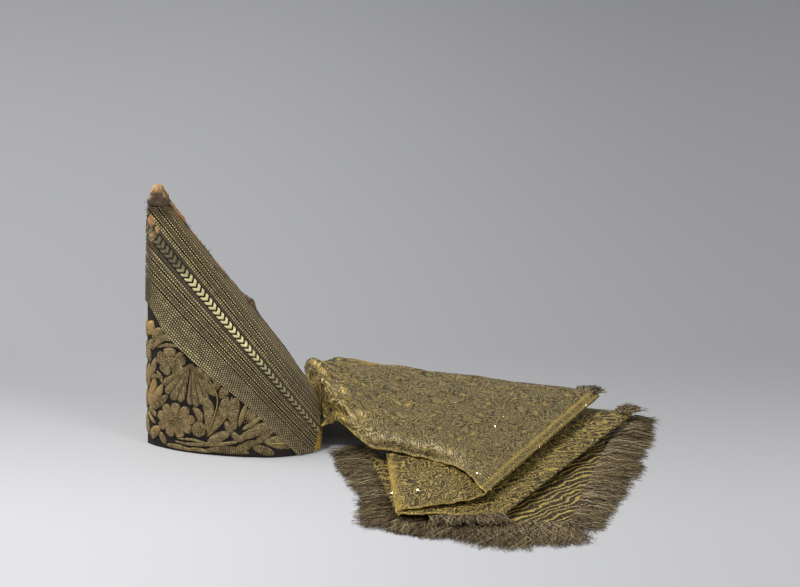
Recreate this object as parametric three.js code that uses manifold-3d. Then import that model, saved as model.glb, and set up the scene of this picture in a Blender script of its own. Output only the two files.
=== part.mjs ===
// Cone-shaped hennin hat with a folded veil. Millimetres, +Z up, -X is the front, -Y the near side.
import * as THREE from "three";
import { mergeVertices } from "three/addons/utils/BufferGeometryUtils.js";
import Module from "manifold-3d";

const wasm = await Module();
wasm.setup();

// Driving sizes of the crown
const RIM_WIDTH = 160; // across the head
const HEIGHT = 285; // floor to tip
const WIDEST = 0.617; // place of the widest point, share of the length from the front
const REAR_ROUNDNESS = 2.2; // superellipse power of the rear half
const COLUMNS = 36; // facets round the crown
const GAP = 0.3; // between neighbouring pieces

// Depths below the visible outline
const EMBROIDERY = 2.2; // the velvet lies this far under the embroidery's crest
const CROWN_WALL = 2.4;
const LINING_WALL = 1.0;
const TIP_LIMIT = 6; // nearer to the tip than this half width, walls get thinner with the tip

// Level sections of the outline: front and rear x, half width over the rim's, roundness of the nose
const SECTIONS = [
  { z: -30, front: -96.0, rear: 135.0, half: 1.1, nose: 1.45 },
  { z: 0, front: -95.0, rear: 118.0, half: 1.0, nose: 1.45 },
  { z: 45, front: -93.8, rear: 92.0, half: 0.845, nose: 1.46 },
  { z: 95, front: -92.5, rear: 60.5, half: 0.69, nose: 1.5 },
  { z: 130, front: -91.8, rear: 36.0, half: 0.57, nose: 1.55 },
  { z: 165, front: -91.0, rear: 10.5, half: 0.45, nose: 1.6 },
  { z: 205, front: -89.5, rear: -19.0, half: 0.32, nose: 1.7 },
  { z: 245, front: -87.5, rear: -47.5, half: 0.19, nose: 1.8 },
  { z: 262, front: -86.3, rear: -60.0, half: 0.13, nose: 1.9 },
  { z: 272, front: -84.8, rear: -65.5, half: 0.1, nose: 2.0 },
  { z: 279, front: -83.0, rear: -67.5, half: 0.08, nose: 2.0 },
  { z: 283, front: -80.0, rear: -68.5, half: 0.055, nose: 2.0 },
  { z: HEIGHT, front: -77.5, rear: -71.5, half: 0.03, nose: 2.0 },
];

// Arched rear cut: what lies behind the plane x = foot + lean * z is open
const ARCH = { foot: 74, lean: 0.44 };
const LINING_SHOWS = 4; // mm of lining behind the crown's cut edge

// Braids lie between slanting planes z + slope * x = level; the slope changes with the level
const FAN = [
  { level: 40, slope: 1.05 },
  { level: 62, slope: 1.08 },
  { level: 74, slope: 1.11 },
  { level: 85.7, slope: 1.15 },
  { level: 98.3, slope: 1.165 },
  { level: 109.6, slope: 1.19 },
  { level: 120.6, slope: 1.28 },
  { level: 132.6, slope: 1.34 },
  { level: 146.5, slope: 1.37 },
  { level: 166.5, slope: 1.39 },
  { level: 185, slope: 1.42 },
];
const FLORAL_EDGE = { level: 62.8, slope: 0.95 };

// Bands and braids, lower and upper level and how far the top lies under the outline
const BRAIDS = [
  { name: "braid_low_1", low: 85.0, high: 92.8, sunk: 0.2, tone: "braid_gold" },
  { name: "braid_low_2", low: 96.2, high: 104.2, sunk: 0.2, tone: "braid_gold" },
  { name: "braid_low_3", low: 107.4, high: 114.2, sunk: 0.2, tone: "braid_gold" },
  { name: "chevron_braid", low: 119.6, high: 132.0, sunk: 0.0, tone: "chevron_gold" },
  { name: "braid_high_1", low: 134.6, high: 141.8, sunk: 0.2, tone: "braid_gold" },
  { name: "braid_high_2", low: 145.4, high: 154.2, sunk: 0.2, tone: "braid_gold" },
  { name: "braid_high_3", low: 157.4, high: 166.2, sunk: 0.2, tone: "braid_gold" },
];
const RIBBED_TOP = 84.2;
const RIBBED_SUNK = 1.0;
const TIP_FROM = 264; // the tip cap starts here
const SEAM = { half: 5, from: 80, sunk: 0.9, fold: { z: 150, length: 26, out: 3.5, half: 4 } };

// Padded embroidery on the near side: centre by turn round the crown (0 front, 180 rear) and height,
// half length, half width, turn of the length from upright (clockwise), number of lobes and their depth
const MOTIFS = [
  { name: "flower_upper", turn: 36, z: 98, long: 16, wide: 15, tilt: 0, lobes: 5, deep: 0.16 },
  { name: "flower_lower", turn: 34, z: 34, long: 17, wide: 16.5, tilt: 0, lobes: 9, deep: 0.08 },
  { name: "shell_front", turn: 39, z: 71, long: 13.5, wide: 5.5, tilt: 22, lobes: 0, deep: 0 },
  { name: "shell_rear", turn: 52, z: 70, long: 13.5, wide: 6, tilt: -4, lobes: 0, deep: 0 },
  { name: "feather_leaf", turn: 61.5, z: 47, long: 32, wide: 8.5, tilt: 22, lobes: 0, deep: 0 },
  { name: "long_leaf", turn: 60.5, z: 93, long: 15, wide: 5.5, tilt: 128, lobes: 0, deep: 0 },
  { name: "tulip", turn: 79, z: 43, long: 15, wide: 12.5, tilt: 12, lobes: 3, deep: 0.2 },
  { name: "leaf_low", turn: 77, z: 20.5, long: 10, wide: 4.5, tilt: 60, lobes: 0, deep: 0 },
  { name: "leaf_rear", turn: 92, z: 25, long: 14, wide: 5, tilt: 115, lobes: 0, deep: 0 },
  { name: "berry", turn: 46.5, z: 18, long: 6, wide: 6, tilt: 0, lobes: 0, deep: 0 },
  { name: "bud", turn: 21, z: 126, long: 11, wide: 5.5, tilt: 8, lobes: 0, deep: 0 },
  { name: "front_leaf", turn: 20.5, z: 72, long: 15, wide: 5.5, tilt: 12, lobes: 0, deep: 0 },
];
const MOTIF_POINTS = 16;

// Cloth of the veil
const CLOTH = 1.6;
const ACROSS = 10; // facets over the cloth's width

// Lines of the cloth from side to side, in order from the hat to its free end. far and near are the
// two sides (x, y, z); crest is how far the middle stands up between them
const VEIL_LINES = [
  // inside the arch and out through it
  { far: [78, 56, 5], near: [78, -54, 8], crest: 13 },
  { far: [92.5, 60, 6], near: [92.5, -58, 10], crest: 14.5 },
  { far: [97, 84, 32], near: [98, -74, 24], crest: 19 },
  // top layer
  { far: [112, 97, 45], near: [110, -108, 29], crest: 16 },
  { far: [150, 86, 47], near: [126, -146, 32], crest: 9 },
  { far: [205, 54, 43], near: [147, -182, 32], crest: 5 },
  { far: [275, 24, 38], near: [172, -214, 31], crest: 4 },
  { far: [345, -6, 33], near: [193, -246, 30], crest: 2 },
  { far: [398, -34, 28.5], near: [205, -280, 24], crest: 0 },
  // first fold at the right, then the second layer back to the left
  { far: [404, -38, 25.5], near: [209, -284, 21.5], crest: 0 },
  { far: [398, -36, 22.5], near: [205, -283, 19], crest: 0 },
  { far: [330, 0, 21], near: [180, -290, 17.5], crest: 0 },
  { far: [240, 14, 20], near: [150, -293, 17], crest: 0 },
  { far: [168, 6, 19], near: [118, -292, 16.5], crest: 0 },
  // fold at the left, then the middle layer out to the right
  { far: [160, 2, 17], near: [107, -298, 14.8], crest: 0 },
  { far: [168, 2, 15], near: [116, -300, 13], crest: 0 },
  { far: [250, -2, 14.5], near: [150, -306, 12.5], crest: 0 },
  { far: [350, -22, 14], near: [184, -312, 12], crest: 0 },
  { far: [425, -62, 13], near: [212, -315, 11], crest: 0 },
  // second fold at the right, then back again
  { far: [433, -66, 11], near: [217, -318, 9.4], crest: 0 },
  { far: [425, -64, 9], near: [211, -316, 7.8], crest: 0 },
  { far: [330, -30, 8.4], near: [180, -306, 7.4], crest: 0 },
  { far: [220, -30, 7.8], near: [144, -294, 7.2], crest: 0 },
  { far: [134, -60, 7.2], near: [122, -284, 6.8], crest: 0 },
  // fold at the left, then the lowest layer out to the free end
  { far: [126, -62, 5.1], near: [114, -285, 4.8], crest: 0 },
  { far: [134, -64, 3.0], near: [120, -286, 2.9], crest: 0 },
  { far: [220, -50, 2.2], near: [160, -307, 2.2], crest: 0 },
  { far: [330, -44, 1.6], near: [222, -331, 1.6], crest: 0 },
  { far: [430, -56, 0.8], near: [281, -345, 0.8], crest: 0 },
];

// Fringes: inner edge and outer edge, point by point, and the height of the slab's middle
const FRINGES = [
  {
    name: "fringe_left",
    inner: [[121, -95], [118.5, -140], [116, -190], [113.5, -240], [111, -286]],
    outer: [[92, -98], [88, -141], [90, -190], [84, -244], [74, -300]],
    z: 1.1,
  },
  {
    name: "fringe_front",
    inner: [[114, -290], [158, -310], [221, -334.5], [279, -348.5]],
    outer: [[92, -306], [136, -342], [196, -384], [284, -394]],
    z: 1.1,
  },
  {
    name: "fringe_right",
    inner: [[283.5, -346], [320, -273], [357, -201], [394, -129], [431.6, -56]],
    outer: [[305, -362], [350, -288], [394, -208], [430, -136], [460, -64]],
    z: 1.1,
  },
  {
    name: "fringe_middle",
    inner: [[146, -308], [184, -314.5], [211, -318.5]],
    outer: [[142, -322], [182, -332], [218, -338]],
    z: 9.6,
  },
  {
    name: "tuft_middle",
    inner: [[418, -58], [430, -62]],
    outer: [[430, -32], [452, -46]],
    z: 12.4,
  },
  {
    name: "tuft_top",
    inner: [[384, -24], [401, -33]],
    outer: [[392, -4], [416, -18]],
    z: 27.5,
  },
];
const FRINGE_THICK = 1.8;

const TONES = {
  velvet: { color: 0x241b14, roughness: 0.95, metalness: 0 },
  yellow_silk: { color: 0xb78a2c, roughness: 0.6, metalness: 0 },
  worn_silk: { color: 0xb79468, roughness: 0.85, metalness: 0 },
  ribbed_brown: { color: 0x7b6440, roughness: 0.7, metalness: 0.1 },
  braid_gold: { color: 0x9a8450, roughness: 0.55, metalness: 0.3 },
  chevron_gold: { color: 0xc6ad72, roughness: 0.45, metalness: 0.4 },
  padded_gold: { color: 0x8f7b4e, roughness: 0.6, metalness: 0.25 },
  veil_gold: { color: 0xa08242, roughness: 0.5, metalness: 0.4 },
  fringe_brown: { color: 0x6f5c3c, roughness: 0.7, metalness: 0.2 },
};

// Value of a named column at a place, read between the rows of a table
function between(rows, key, place, column) {
  const last = rows.length - 1;
  if (place <= rows[0][key]) return rows[0][column];
  for (let i = 0; i < last; i++) {
    const a = rows[i];
    const b = rows[i + 1];
    if (place <= b[key]) {
      const share = (place - a[key]) / (b[key] - a[key]);
      return a[column] + share * (b[column] - a[column]);
    }
  }
  return rows[last][column];
}

// Outline point: turn 0 at the front, pi at the rear, the near side (-Y) between them
function outline(turn, z) {
  const front = between(SECTIONS, "z", z, "front");
  const rear = between(SECTIONS, "z", z, "rear");
  const half = (between(SECTIONS, "z", z, "half") * RIM_WIDTH) / 2;
  const nose = between(SECTIONS, "z", z, "nose");
  const middle = front + WIDEST * (rear - front);
  const along = -Math.cos(turn);
  const side = Math.sin(turn);
  const power = 2 / (along < 0 ? nose : REAR_ROUNDNESS);
  const reach = along < 0 ? middle - front : rear - middle;
  return new THREE.Vector3(
    middle + reach * Math.sign(along) * Math.abs(along) ** power,
    -half * Math.sign(side) * Math.abs(side) ** power,
    z,
  );
}

// Outward direction of the outline
function outward(turn, z) {
  const step = 0.02;
  const rise = 2;
  const round = outline(turn + step, z).sub(outline(turn - step, z));
  const up = outline(turn, z + rise).sub(outline(turn, z - rise));
  return round.cross(up).normalize();
}

// Outline point moved inwards by depth at its own height
function sunk(turn, z, depth) {
  const n = outward(turn, z);
  const level = Math.hypot(n.x, n.y);
  const p = outline(turn, z);
  const half = (between(SECTIONS, "z", z, "half") * RIM_WIDTH) / 2;
  const inward = depth * Math.min(1 / Math.max(level * level, 0.3), half / TIP_LIMIT);
  return p.add(new THREE.Vector3(-n.x * inward, -n.y * inward, 0));
}

// Closed geometry as a solid to join and cut
function solidOf(geometry) {
  geometry.deleteAttribute("normal");
  geometry.deleteAttribute("uv");
  const merged = mergeVertices(geometry, 1e-4);
  return new wasm.Manifold(
    new wasm.Mesh({
      numProp: 3,
      vertProperties: merged.attributes.position.array,
      triVerts: new Uint32Array(merged.index.array),
    }),
  );
}

function solidOfFaces(points, faces) {
  const geometry = new THREE.BufferGeometry();
  geometry.setAttribute("position", new THREE.Float32BufferAttribute(points, 3));
  geometry.setIndex(faces);
  return solidOf(geometry);
}

// Closed body of the outline, sunk by depth, from the foot height to the top
function cone(depth, foot, top) {
  const heights = [foot];
  for (const row of SECTIONS) {
    if (row.z > foot + 1 && row.z < top - 1) heights.push(row.z);
  }
  heights.push(top);
  const points = [];
  for (const z of heights) {
    for (let i = 0; i < COLUMNS; i++) {
      points.push(...sunk((i / COLUMNS) * 2 * Math.PI, z, depth).toArray());
    }
  }
  const faces = [];
  const at = (row, column) => row * COLUMNS + (column % COLUMNS);
  for (let row = 0; row + 1 < heights.length; row++) {
    for (let i = 0; i < COLUMNS; i++) {
      faces.push(at(row, i), at(row, i + 1), at(row + 1, i));
      faces.push(at(row + 1, i), at(row, i + 1), at(row + 1, i + 1));
    }
  }
  for (const [row, flip] of [
    [0, true],
    [heights.length - 1, false],
  ]) {
    const centre = points.length / 3;
    const ring = new THREE.Vector3();
    for (let i = 0; i < COLUMNS; i++) {
      ring.add(new THREE.Vector3().fromArray(points, 3 * at(row, i)));
    }
    points.push(...ring.divideScalar(COLUMNS).toArray());
    for (let i = 0; i < COLUMNS; i++) {
      if (flip) faces.push(centre, at(row, i + 1), at(row, i));
      else faces.push(centre, at(row, i), at(row, i + 1));
    }
  }
  return solidOfFaces(points, faces);
}

// The part of a body on the side of a plane where normal . point is at least limit
const keep = (body, normal, limit) => body.trimByPlane(normal, limit / Math.hypot(...normal));
// The part in front of the arched cut, its plane moved back by extra
const inFront = (body, extra) => keep(body, [-1, 0, ARCH.lean], -(ARCH.foot + extra));
// The part over or under the slanting plane z + slope * x = level
const over = (body, slope, level) => keep(body, [slope, 0, 1], level);
const under = (body, slope, level) => keep(body, [-slope, 0, -1], -level);
const slopeAt = (level) => between(FAN, "level", level, "slope");

// Trim on the crown: the skin between the velvet and the given depth, clear of rim and tip cap
const SKIN_FOOT = 1.2;
const SKIN_UNDER = EMBROIDERY - GAP;
function skin(depth) {
  const outer = cone(depth, SKIN_FOOT, TIP_FROM - GAP);
  const inner = cone(SKIN_UNDER, SKIN_FOOT - 5, TIP_FROM + 5);
  return inFront(outer.subtract(inner), 0);
}

const largest = (body) =>
  body.decompose().reduce((a, b) => (b.volume() > a.volume() ? b : a));

const group = new THREE.Group();
group.name = "hennin_hat";

function add(name, body, tone) {
  const data = body.getMesh();
  const geometry = new THREE.BufferGeometry();
  geometry.setAttribute("position", new THREE.BufferAttribute(data.vertProperties, 3));
  geometry.setIndex(new THREE.BufferAttribute(data.triVerts, 1));
  const material = new THREE.MeshStandardMaterial({ ...TONES[tone], flatShading: true });
  material.name = tone;
  const mesh = new THREE.Mesh(geometry, material);
  mesh.name = name;
  group.add(mesh);
}

// Crown, lining and tip cap
const crownDepth = EMBROIDERY + CROWN_WALL;
const crownTop = HEIGHT - EMBROIDERY;
const crown = cone(EMBROIDERY, 0, crownTop).subtract(
  cone(crownDepth, -5, crownTop - CROWN_WALL),
);
add("crown", inFront(crown, 0), "velvet");

const liningDepth = crownDepth + GAP;
const LINING_FOOT = 1.5;
const LINING_TOP = 258;
const lining = cone(liningDepth, LINING_FOOT, LINING_TOP).subtract(
  cone(liningDepth + LINING_WALL, -5, LINING_TOP - 2 * LINING_WALL),
);
add("lining", inFront(lining, LINING_SHOWS), "yellow_silk");

const cap = cone(0, TIP_FROM, HEIGHT).subtract(
  cone(SKIN_UNDER, TIP_FROM - 5, HEIGHT - SKIN_UNDER),
);
add("tip_cap", cap, "worn_silk");

// Strip over the rear seam with its raised fold
const SEAM_BOX = { from: -70, to: 230 }; // x range that holds the whole rear edge
function seamCut(half, from, to) {
  const box = new THREE.BoxGeometry(SEAM_BOX.to - SEAM_BOX.from, 2 * half, to - from);
  return solidOf(box.translate((SEAM_BOX.from + SEAM_BOX.to) / 2, 0, (from + to) / 2));
}
const plainSeam = skin(SEAM.sunk).intersect(seamCut(SEAM.half, SEAM.from, TIP_FROM));
const fold = SEAM.fold;
const foldSkin = skin(-fold.out).intersect(
  seamCut(fold.half, fold.z - fold.length / 2, fold.z + fold.length / 2),
);
add("back_seam", largest(plainSeam.add(foldSkin)), "worn_silk");

// Ribbed band over the flowers, then the braids
const ribbed = under(
  over(skin(RIBBED_SUNK), FLORAL_EDGE.slope, FLORAL_EDGE.level),
  slopeAt(RIBBED_TOP),
  RIBBED_TOP,
);
add("ribbed_band", largest(ribbed), "ribbed_brown");
const besideSeam = seamCut(SEAM.half + GAP, SEAM.from - GAP, TIP_FROM);
for (const braid of BRAIDS) {
  const strip = under(
    over(skin(braid.sunk), slopeAt(braid.low), braid.low),
    slopeAt(braid.high),
    braid.high,
  );
  add(braid.name, largest(strip.subtract(besideSeam)), braid.tone);
}

// Closed solid of a flat outline pushed along +Z
const pushed = (shape, depth) =>
  solidOf(new THREE.ExtrudeGeometry(shape, { depth, bevelEnabled: false }));

// Prism of a motif's outline, along the outward direction at its centre
const PRISM_REACH = 14;
function prism(motif, grow) {
  const turn = THREE.MathUtils.degToRad(motif.turn);
  const out = outward(turn, motif.z);
  const side = new THREE.Vector3(0, 0, 1).cross(out).normalize();
  const up = out.clone().cross(side);
  const shape = new THREE.Shape();
  const tilt = THREE.MathUtils.degToRad(motif.tilt);
  for (let i = 0; i < MOTIF_POINTS; i++) {
    const a = (i / MOTIF_POINTS) * 2 * Math.PI;
    const lobe = 1 - motif.deep + motif.deep * Math.cos(motif.lobes * a);
    const long = (motif.long + grow) * lobe * Math.cos(a);
    const wide = (motif.wide + grow) * lobe * Math.sin(a);
    const x = wide * Math.cos(tilt) + long * Math.sin(tilt);
    const y = long * Math.cos(tilt) - wide * Math.sin(tilt);
    if (i === 0) shape.moveTo(x, y);
    else shape.lineTo(x, y);
  }
  const frame = new THREE.Matrix4().makeBasis(side, up, out);
  frame.setPosition(sunk(turn, motif.z, 1));
  return pushed(shape, 2 * PRISM_REACH)
    .translate([0, 0, -PRISM_REACH])
    .transform(frame.toArray());
}

// Embroidery lies under the floral edge, clear of its neighbours, the same on both sides
const floral = keep(
  under(skin(0), FLORAL_EDGE.slope, FLORAL_EDGE.level - 2 * GAP),
  [0, -1, 0],
  GAP / 2,
);
const placed = [];
for (const motif of MOTIFS) {
  let body = floral.intersect(prism(motif, 0));
  for (const other of placed) body = body.subtract(prism(other, 2 * GAP));
  placed.push(motif);
  const near = largest(body);
  add(motif.name + "_near", near, "padded_gold");
  add(motif.name + "_far", near.mirror([0, 1, 0]), "padded_gold");
}

// The veil: points of the middle surface, moved by half the cloth to both sides
function veil() {
  const rows = VEIL_LINES.map((line) => {
    const far = new THREE.Vector3(...line.far);
    const near = new THREE.Vector3(...line.near);
    const row = [];
    for (let i = 0; i <= ACROSS; i++) {
      const share = i / ACROSS;
      const p = far.clone().lerp(near, share);
      p.z += line.crest * (1 - (2 * share - 1) ** 2);
      row.push(p);
    }
    return row;
  });
  const last = rows.length - 1;
  const points = [];
  for (const side of [1, -1]) {
    for (let r = 0; r <= last; r++) {
      for (let i = 0; i <= ACROSS; i++) {
        const along = rows[Math.min(r + 1, last)][i].clone().sub(rows[Math.max(r - 1, 0)][i]);
        const across = rows[r][Math.min(i + 1, ACROSS)].clone().sub(rows[r][Math.max(i - 1, 0)]);
        const up = across.cross(along).normalize();
        points.push(...rows[r][i].clone().addScaledVector(up, (side * CLOTH) / 2).toArray());
      }
    }
  }
  const faces = [];
  const width = ACROSS + 1;
  const sheet = rows.length * width;
  const quad = (a, b, c, d) => faces.push(a, b, c, a, c, d);
  for (let r = 0; r < last; r++) {
    for (let i = 0; i < ACROSS; i++) {
      const a = r * width + i;
      quad(a, a + 1, a + 1 + width, a + width);
      quad(sheet + a, sheet + a + width, sheet + a + 1 + width, sheet + a + 1);
    }
    const far = r * width;
    const near = far + ACROSS;
    quad(far, far + width, far + width + sheet, far + sheet);
    quad(near, near + sheet, near + width + sheet, near + width);
  }
  for (let i = 0; i < ACROSS; i++) {
    const end = last * width + i;
    quad(i, i + sheet, i + 1 + sheet, i + 1);
    quad(end, end + 1, end + 1 + sheet, end + sheet);
  }
  return solidOfFaces(points, faces);
}
add("veil", veil(), "veil_gold");

// Fringes lie flat beside the cloth's edges
for (const fringe of FRINGES) {
  const shape = new THREE.Shape();
  const loop = [...fringe.inner, ...[...fringe.outer].reverse()];
  loop.forEach(([x, y], i) => (i ? shape.lineTo(x, y) : shape.moveTo(x, y)));
  const slab = pushed(shape, FRINGE_THICK).translate([0, 0, fringe.z - FRINGE_THICK / 2]);
  add(fringe.name, slab, "fringe_brown");
}

// The origin is under the middle of the part's box
const box = new THREE.Box3().setFromObject(group);
group.position.set(-(box.min.x + box.max.x) / 2, -(box.min.y + box.max.y) / 2, -box.min.z);

export default group;
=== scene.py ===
"""Looks of a hennin: a velvet cone with gold braids and padded embroidery, and a brocade veil."""
import math

import bpy
import numpy as np
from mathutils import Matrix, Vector


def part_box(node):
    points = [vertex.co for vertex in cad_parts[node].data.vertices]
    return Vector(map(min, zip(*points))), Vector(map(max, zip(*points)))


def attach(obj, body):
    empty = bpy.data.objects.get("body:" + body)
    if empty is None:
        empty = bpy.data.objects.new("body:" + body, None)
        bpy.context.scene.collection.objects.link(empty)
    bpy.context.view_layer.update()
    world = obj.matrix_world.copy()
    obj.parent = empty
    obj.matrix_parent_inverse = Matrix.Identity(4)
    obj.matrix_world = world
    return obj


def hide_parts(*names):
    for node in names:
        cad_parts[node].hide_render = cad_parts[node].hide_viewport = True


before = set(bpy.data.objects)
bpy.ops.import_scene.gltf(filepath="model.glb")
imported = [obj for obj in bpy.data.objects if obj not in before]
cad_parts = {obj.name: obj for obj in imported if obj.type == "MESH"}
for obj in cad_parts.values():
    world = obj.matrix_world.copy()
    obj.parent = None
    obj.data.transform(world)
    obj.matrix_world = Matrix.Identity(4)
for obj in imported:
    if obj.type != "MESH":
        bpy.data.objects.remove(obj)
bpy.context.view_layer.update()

# Sizes are in millimetres in the hat's own frame: -X front, -Y near side, +Z up, origin on the floor
MM = 0.001
SEED = 20

# The low x and high y of the left fringe in the hat's frame give the way to the row frame
LEFT_FRINGE_X = 74.0
LEFT_FRINGE_Y = -95.0
fringe_low, fringe_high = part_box("fringe_left")
SHIFT = np.array([fringe_low.x / MM - LEFT_FRINGE_X, fringe_high.y / MM - LEFT_FRINGE_Y, 0.0])

# Camera and the photograph's frame
CAMERA_PLACE = (-502.55, -2909.95, 1070.09)
CAMERA_HEADING = 13.3
CAMERA_DOWN = 17.15
LENS = 130.5
SENSOR = 36.0

# Crown
RIM_WIDTH = 160.0
HEIGHT = 285.0
WIDEST = 0.617
REAR_ROUNDNESS = 2.2
EMBROIDERY = 2.2
CROWN_WALL = 2.4
LINING_WALL = 1.0
ARCH_FOOT = 74.0
ARCH_LEAN = 0.44
TIP_FROM = 264.0
SKIN_FOOT = 1.2
SECTION_COLUMNS = ("z", "front", "rear", "half", "nose")
SECTIONS = [
    (-30, -96.0, 135.0, 1.1, 1.45),
    (0, -95.0, 118.0, 1.0, 1.45),
    (45, -93.8, 92.0, 0.845, 1.46),
    (95, -92.5, 60.5, 0.69, 1.5),
    (130, -91.8, 36.0, 0.57, 1.55),
    (165, -91.0, 10.5, 0.45, 1.6),
    (205, -89.5, -19.0, 0.32, 1.7),
    (245, -87.5, -47.5, 0.19, 1.8),
    (262, -86.3, -60.0, 0.13, 1.9),
    (272, -84.8, -65.5, 0.1, 2.0),
    (279, -83.0, -67.5, 0.08, 2.0),
    (283, -80.0, -68.5, 0.055, 2.0),
    (285, -77.5, -71.5, 0.03, 2.0),
]
SECTION_SPREAD = (-6, -3, 0, 3, 6)

# Braids lie between slanting planes z + slope * x = level
FAN_LEVELS = (40, 62, 74, 85.7, 98.3, 109.6, 120.6, 132.6, 146.5, 166.5, 185)
FAN_SLOPES = (1.05, 1.08, 1.11, 1.15, 1.165, 1.19, 1.28, 1.34, 1.37, 1.39, 1.42)

rng = np.random.default_rng(SEED)


def smooth(value, low, high):
    """0 below low, 1 above high, and a soft step between them."""
    share = np.clip((np.asarray(value, float) - low) / (high - low), 0, 1)
    return share * share * (3 - 2 * share)


def distances(points):
    """Distance along a line of points, from its first."""
    steps = np.linalg.norm(np.diff(np.asarray(points, float), axis=0), axis=1)
    return np.concatenate([[0], np.cumsum(steps)])


def section(column, z):
    """A column of the sections at heights z, averaged a little so that no row shows as a crease."""
    table = dict(zip(SECTION_COLUMNS, zip(*SECTIONS)))
    z = np.asarray(z, float)
    return np.mean([np.interp(z + d, table["z"], table[column]) for d in SECTION_SPREAD], axis=0)


def bare_outline(turn, z):
    """Points of the crown's embroidered outside: turn 0 is the front, pi the rear."""
    turn, z = np.broadcast_arrays(np.asarray(turn, float), np.asarray(z, float))
    front = section("front", z)
    rear = section("rear", z)
    half = section("half", z) * RIM_WIDTH / 2
    middle = front + WIDEST * (rear - front)
    along = -np.cos(turn)
    side = np.sin(turn)
    power = 2 / np.where(along < 0, section("nose", z), REAR_ROUNDNESS)
    reach = np.where(along < 0, middle - front, rear - middle)
    x = middle + reach * np.sign(along) * np.abs(along) ** power
    y = -half * np.sign(side) * np.abs(side) ** power
    return np.stack([x, y, z], -1)


def outline(turn, z, lift=0.0):
    """The same points moved outwards by lift."""
    turn_step = 0.02
    rise = 2.0
    around = bare_outline(turn + turn_step, z) - bare_outline(turn - turn_step, z)
    up = bare_outline(turn, z + rise) - bare_outline(turn, z - rise)
    normal = np.cross(around, up)
    normal /= np.linalg.norm(normal, axis=-1, keepdims=True)
    return bare_outline(turn, z) + normal * np.asarray(lift, float)[..., None]


def slope_at(level):
    """How steep the plane of a braid level is."""
    return np.interp(level, FAN_LEVELS, FAN_SLOPES)


def level_of(x, z):
    """The braid level that passes through a point, by repeated substitution."""
    level = z + 1.3 * x
    for _ in range(25):
        level = 0.5 * level + 0.5 * (z + slope_at(level) * x)
    return level


# Distance round the crown from the front ridge, on a regular table, and back to the turn
ARC_RISE = 5.0
ARC_HEIGHTS = np.arange(0, HEIGHT + ARC_RISE, ARC_RISE)
ARC_TURNS = np.linspace(0, math.pi, 721)
arc_points = bare_outline(ARC_TURNS[None, :], ARC_HEIGHTS[:, None])
arc_steps = np.linalg.norm(np.diff(arc_points, axis=1), axis=2)
ARC_TABLE = np.concatenate([np.zeros((len(ARC_HEIGHTS), 1)), np.cumsum(arc_steps, 1)], 1)


def round_from_turn(turn, z):
    """Distance round the crown at height z from the front ridge to a turn."""
    row = np.clip(np.asarray(z, float) / ARC_RISE, 0, len(ARC_HEIGHTS) - 1.001)
    column = np.clip(np.asarray(turn) / math.pi * (len(ARC_TURNS) - 1), 0, len(ARC_TURNS) - 1.001)
    r, c = row.astype(int), column.astype(int)
    fr, fc = row - r, column - c
    low = ARC_TABLE[r, c] * (1 - fc) + ARC_TABLE[r, c + 1] * fc
    high = ARC_TABLE[r + 1, c] * (1 - fc) + ARC_TABLE[r + 1, c + 1] * fc
    return low * (1 - fr) + high * fr


def turn_from_round(distance, z):
    """The turn at a distance round the crown from the front ridge."""
    distance, z = np.broadcast_arrays(np.asarray(distance, float), np.asarray(z, float))
    row = np.clip(z / ARC_RISE, 0, len(ARC_HEIGHTS) - 1.001)
    r = row.astype(int)
    fr = row - r
    turn = np.zeros(distance.shape)
    for k in np.unique(r):
        here = r == k
        low = np.interp(distance[here], ARC_TABLE[k], ARC_TURNS)
        high = np.interp(distance[here], ARC_TABLE[k + 1], ARC_TURNS)
        turn[here] = low * (1 - fr[here]) + high * fr[here]
    return turn


def noise(x, y, seed):
    """Smooth value noise between -1 and 1 on a lattice of unit cells."""
    table = np.random.default_rng(seed).uniform(-1, 1, (64, 64))
    x, y = np.broadcast_arrays(np.asarray(x, float), np.asarray(y, float))
    ix, iy = np.floor(x).astype(int), np.floor(y).astype(int)
    fx, fy = smooth(x - ix, 0, 1), smooth(y - iy, 0, 1)
    at = lambda i, j: table[i % 64, j % 64]
    low = at(ix, iy) * (1 - fx) + at(ix + 1, iy) * fx
    high = at(ix, iy + 1) * (1 - fx) + at(ix + 1, iy + 1) * fx
    return low * (1 - fy) + high * fy


# Mesh building
def place_in_scene(name, data):
    made = bpy.data.objects.new(name, data)
    bpy.context.scene.collection.objects.link(made)
    return made


def grid_faces(rows, columns, closed=False):
    """Quads of a grid of points; a closed grid joins its last column to its first."""
    spans = columns if closed else columns - 1
    row = np.arange(rows - 1)[:, None] * columns
    left = np.arange(spans)[None, :]
    right = (left + 1) % columns
    faces = np.stack([row + left, row + right, row + columns + right, row + columns + left], -1)
    return faces.reshape(-1, 4)


def shell(outer, inner, closed=False):
    """Two grids of points joined along their borders into one closed wall."""
    rows, columns = outer.shape[:2]
    count = rows * columns
    top = grid_faces(rows, columns, closed)
    index = np.arange(count).reshape(rows, columns)
    if closed:
        loops = [np.append(index[0], index[0, 0]), np.append(index[-1], index[-1, 0])[::-1]]
    else:
        ring = [index[0], index[1:, -1], index[-1, -2::-1], index[-2::-1, 0]]
        loops = [np.concatenate(ring)]
    walls = [np.stack([a[1:], a[:-1], a[:-1] + count, a[1:] + count], -1) for a in loops]
    faces = np.concatenate([top, top[:, ::-1] + count, *walls])
    points = np.concatenate([outer.reshape(-1, 3), inner.reshape(-1, 3)])
    return points, faces


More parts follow.
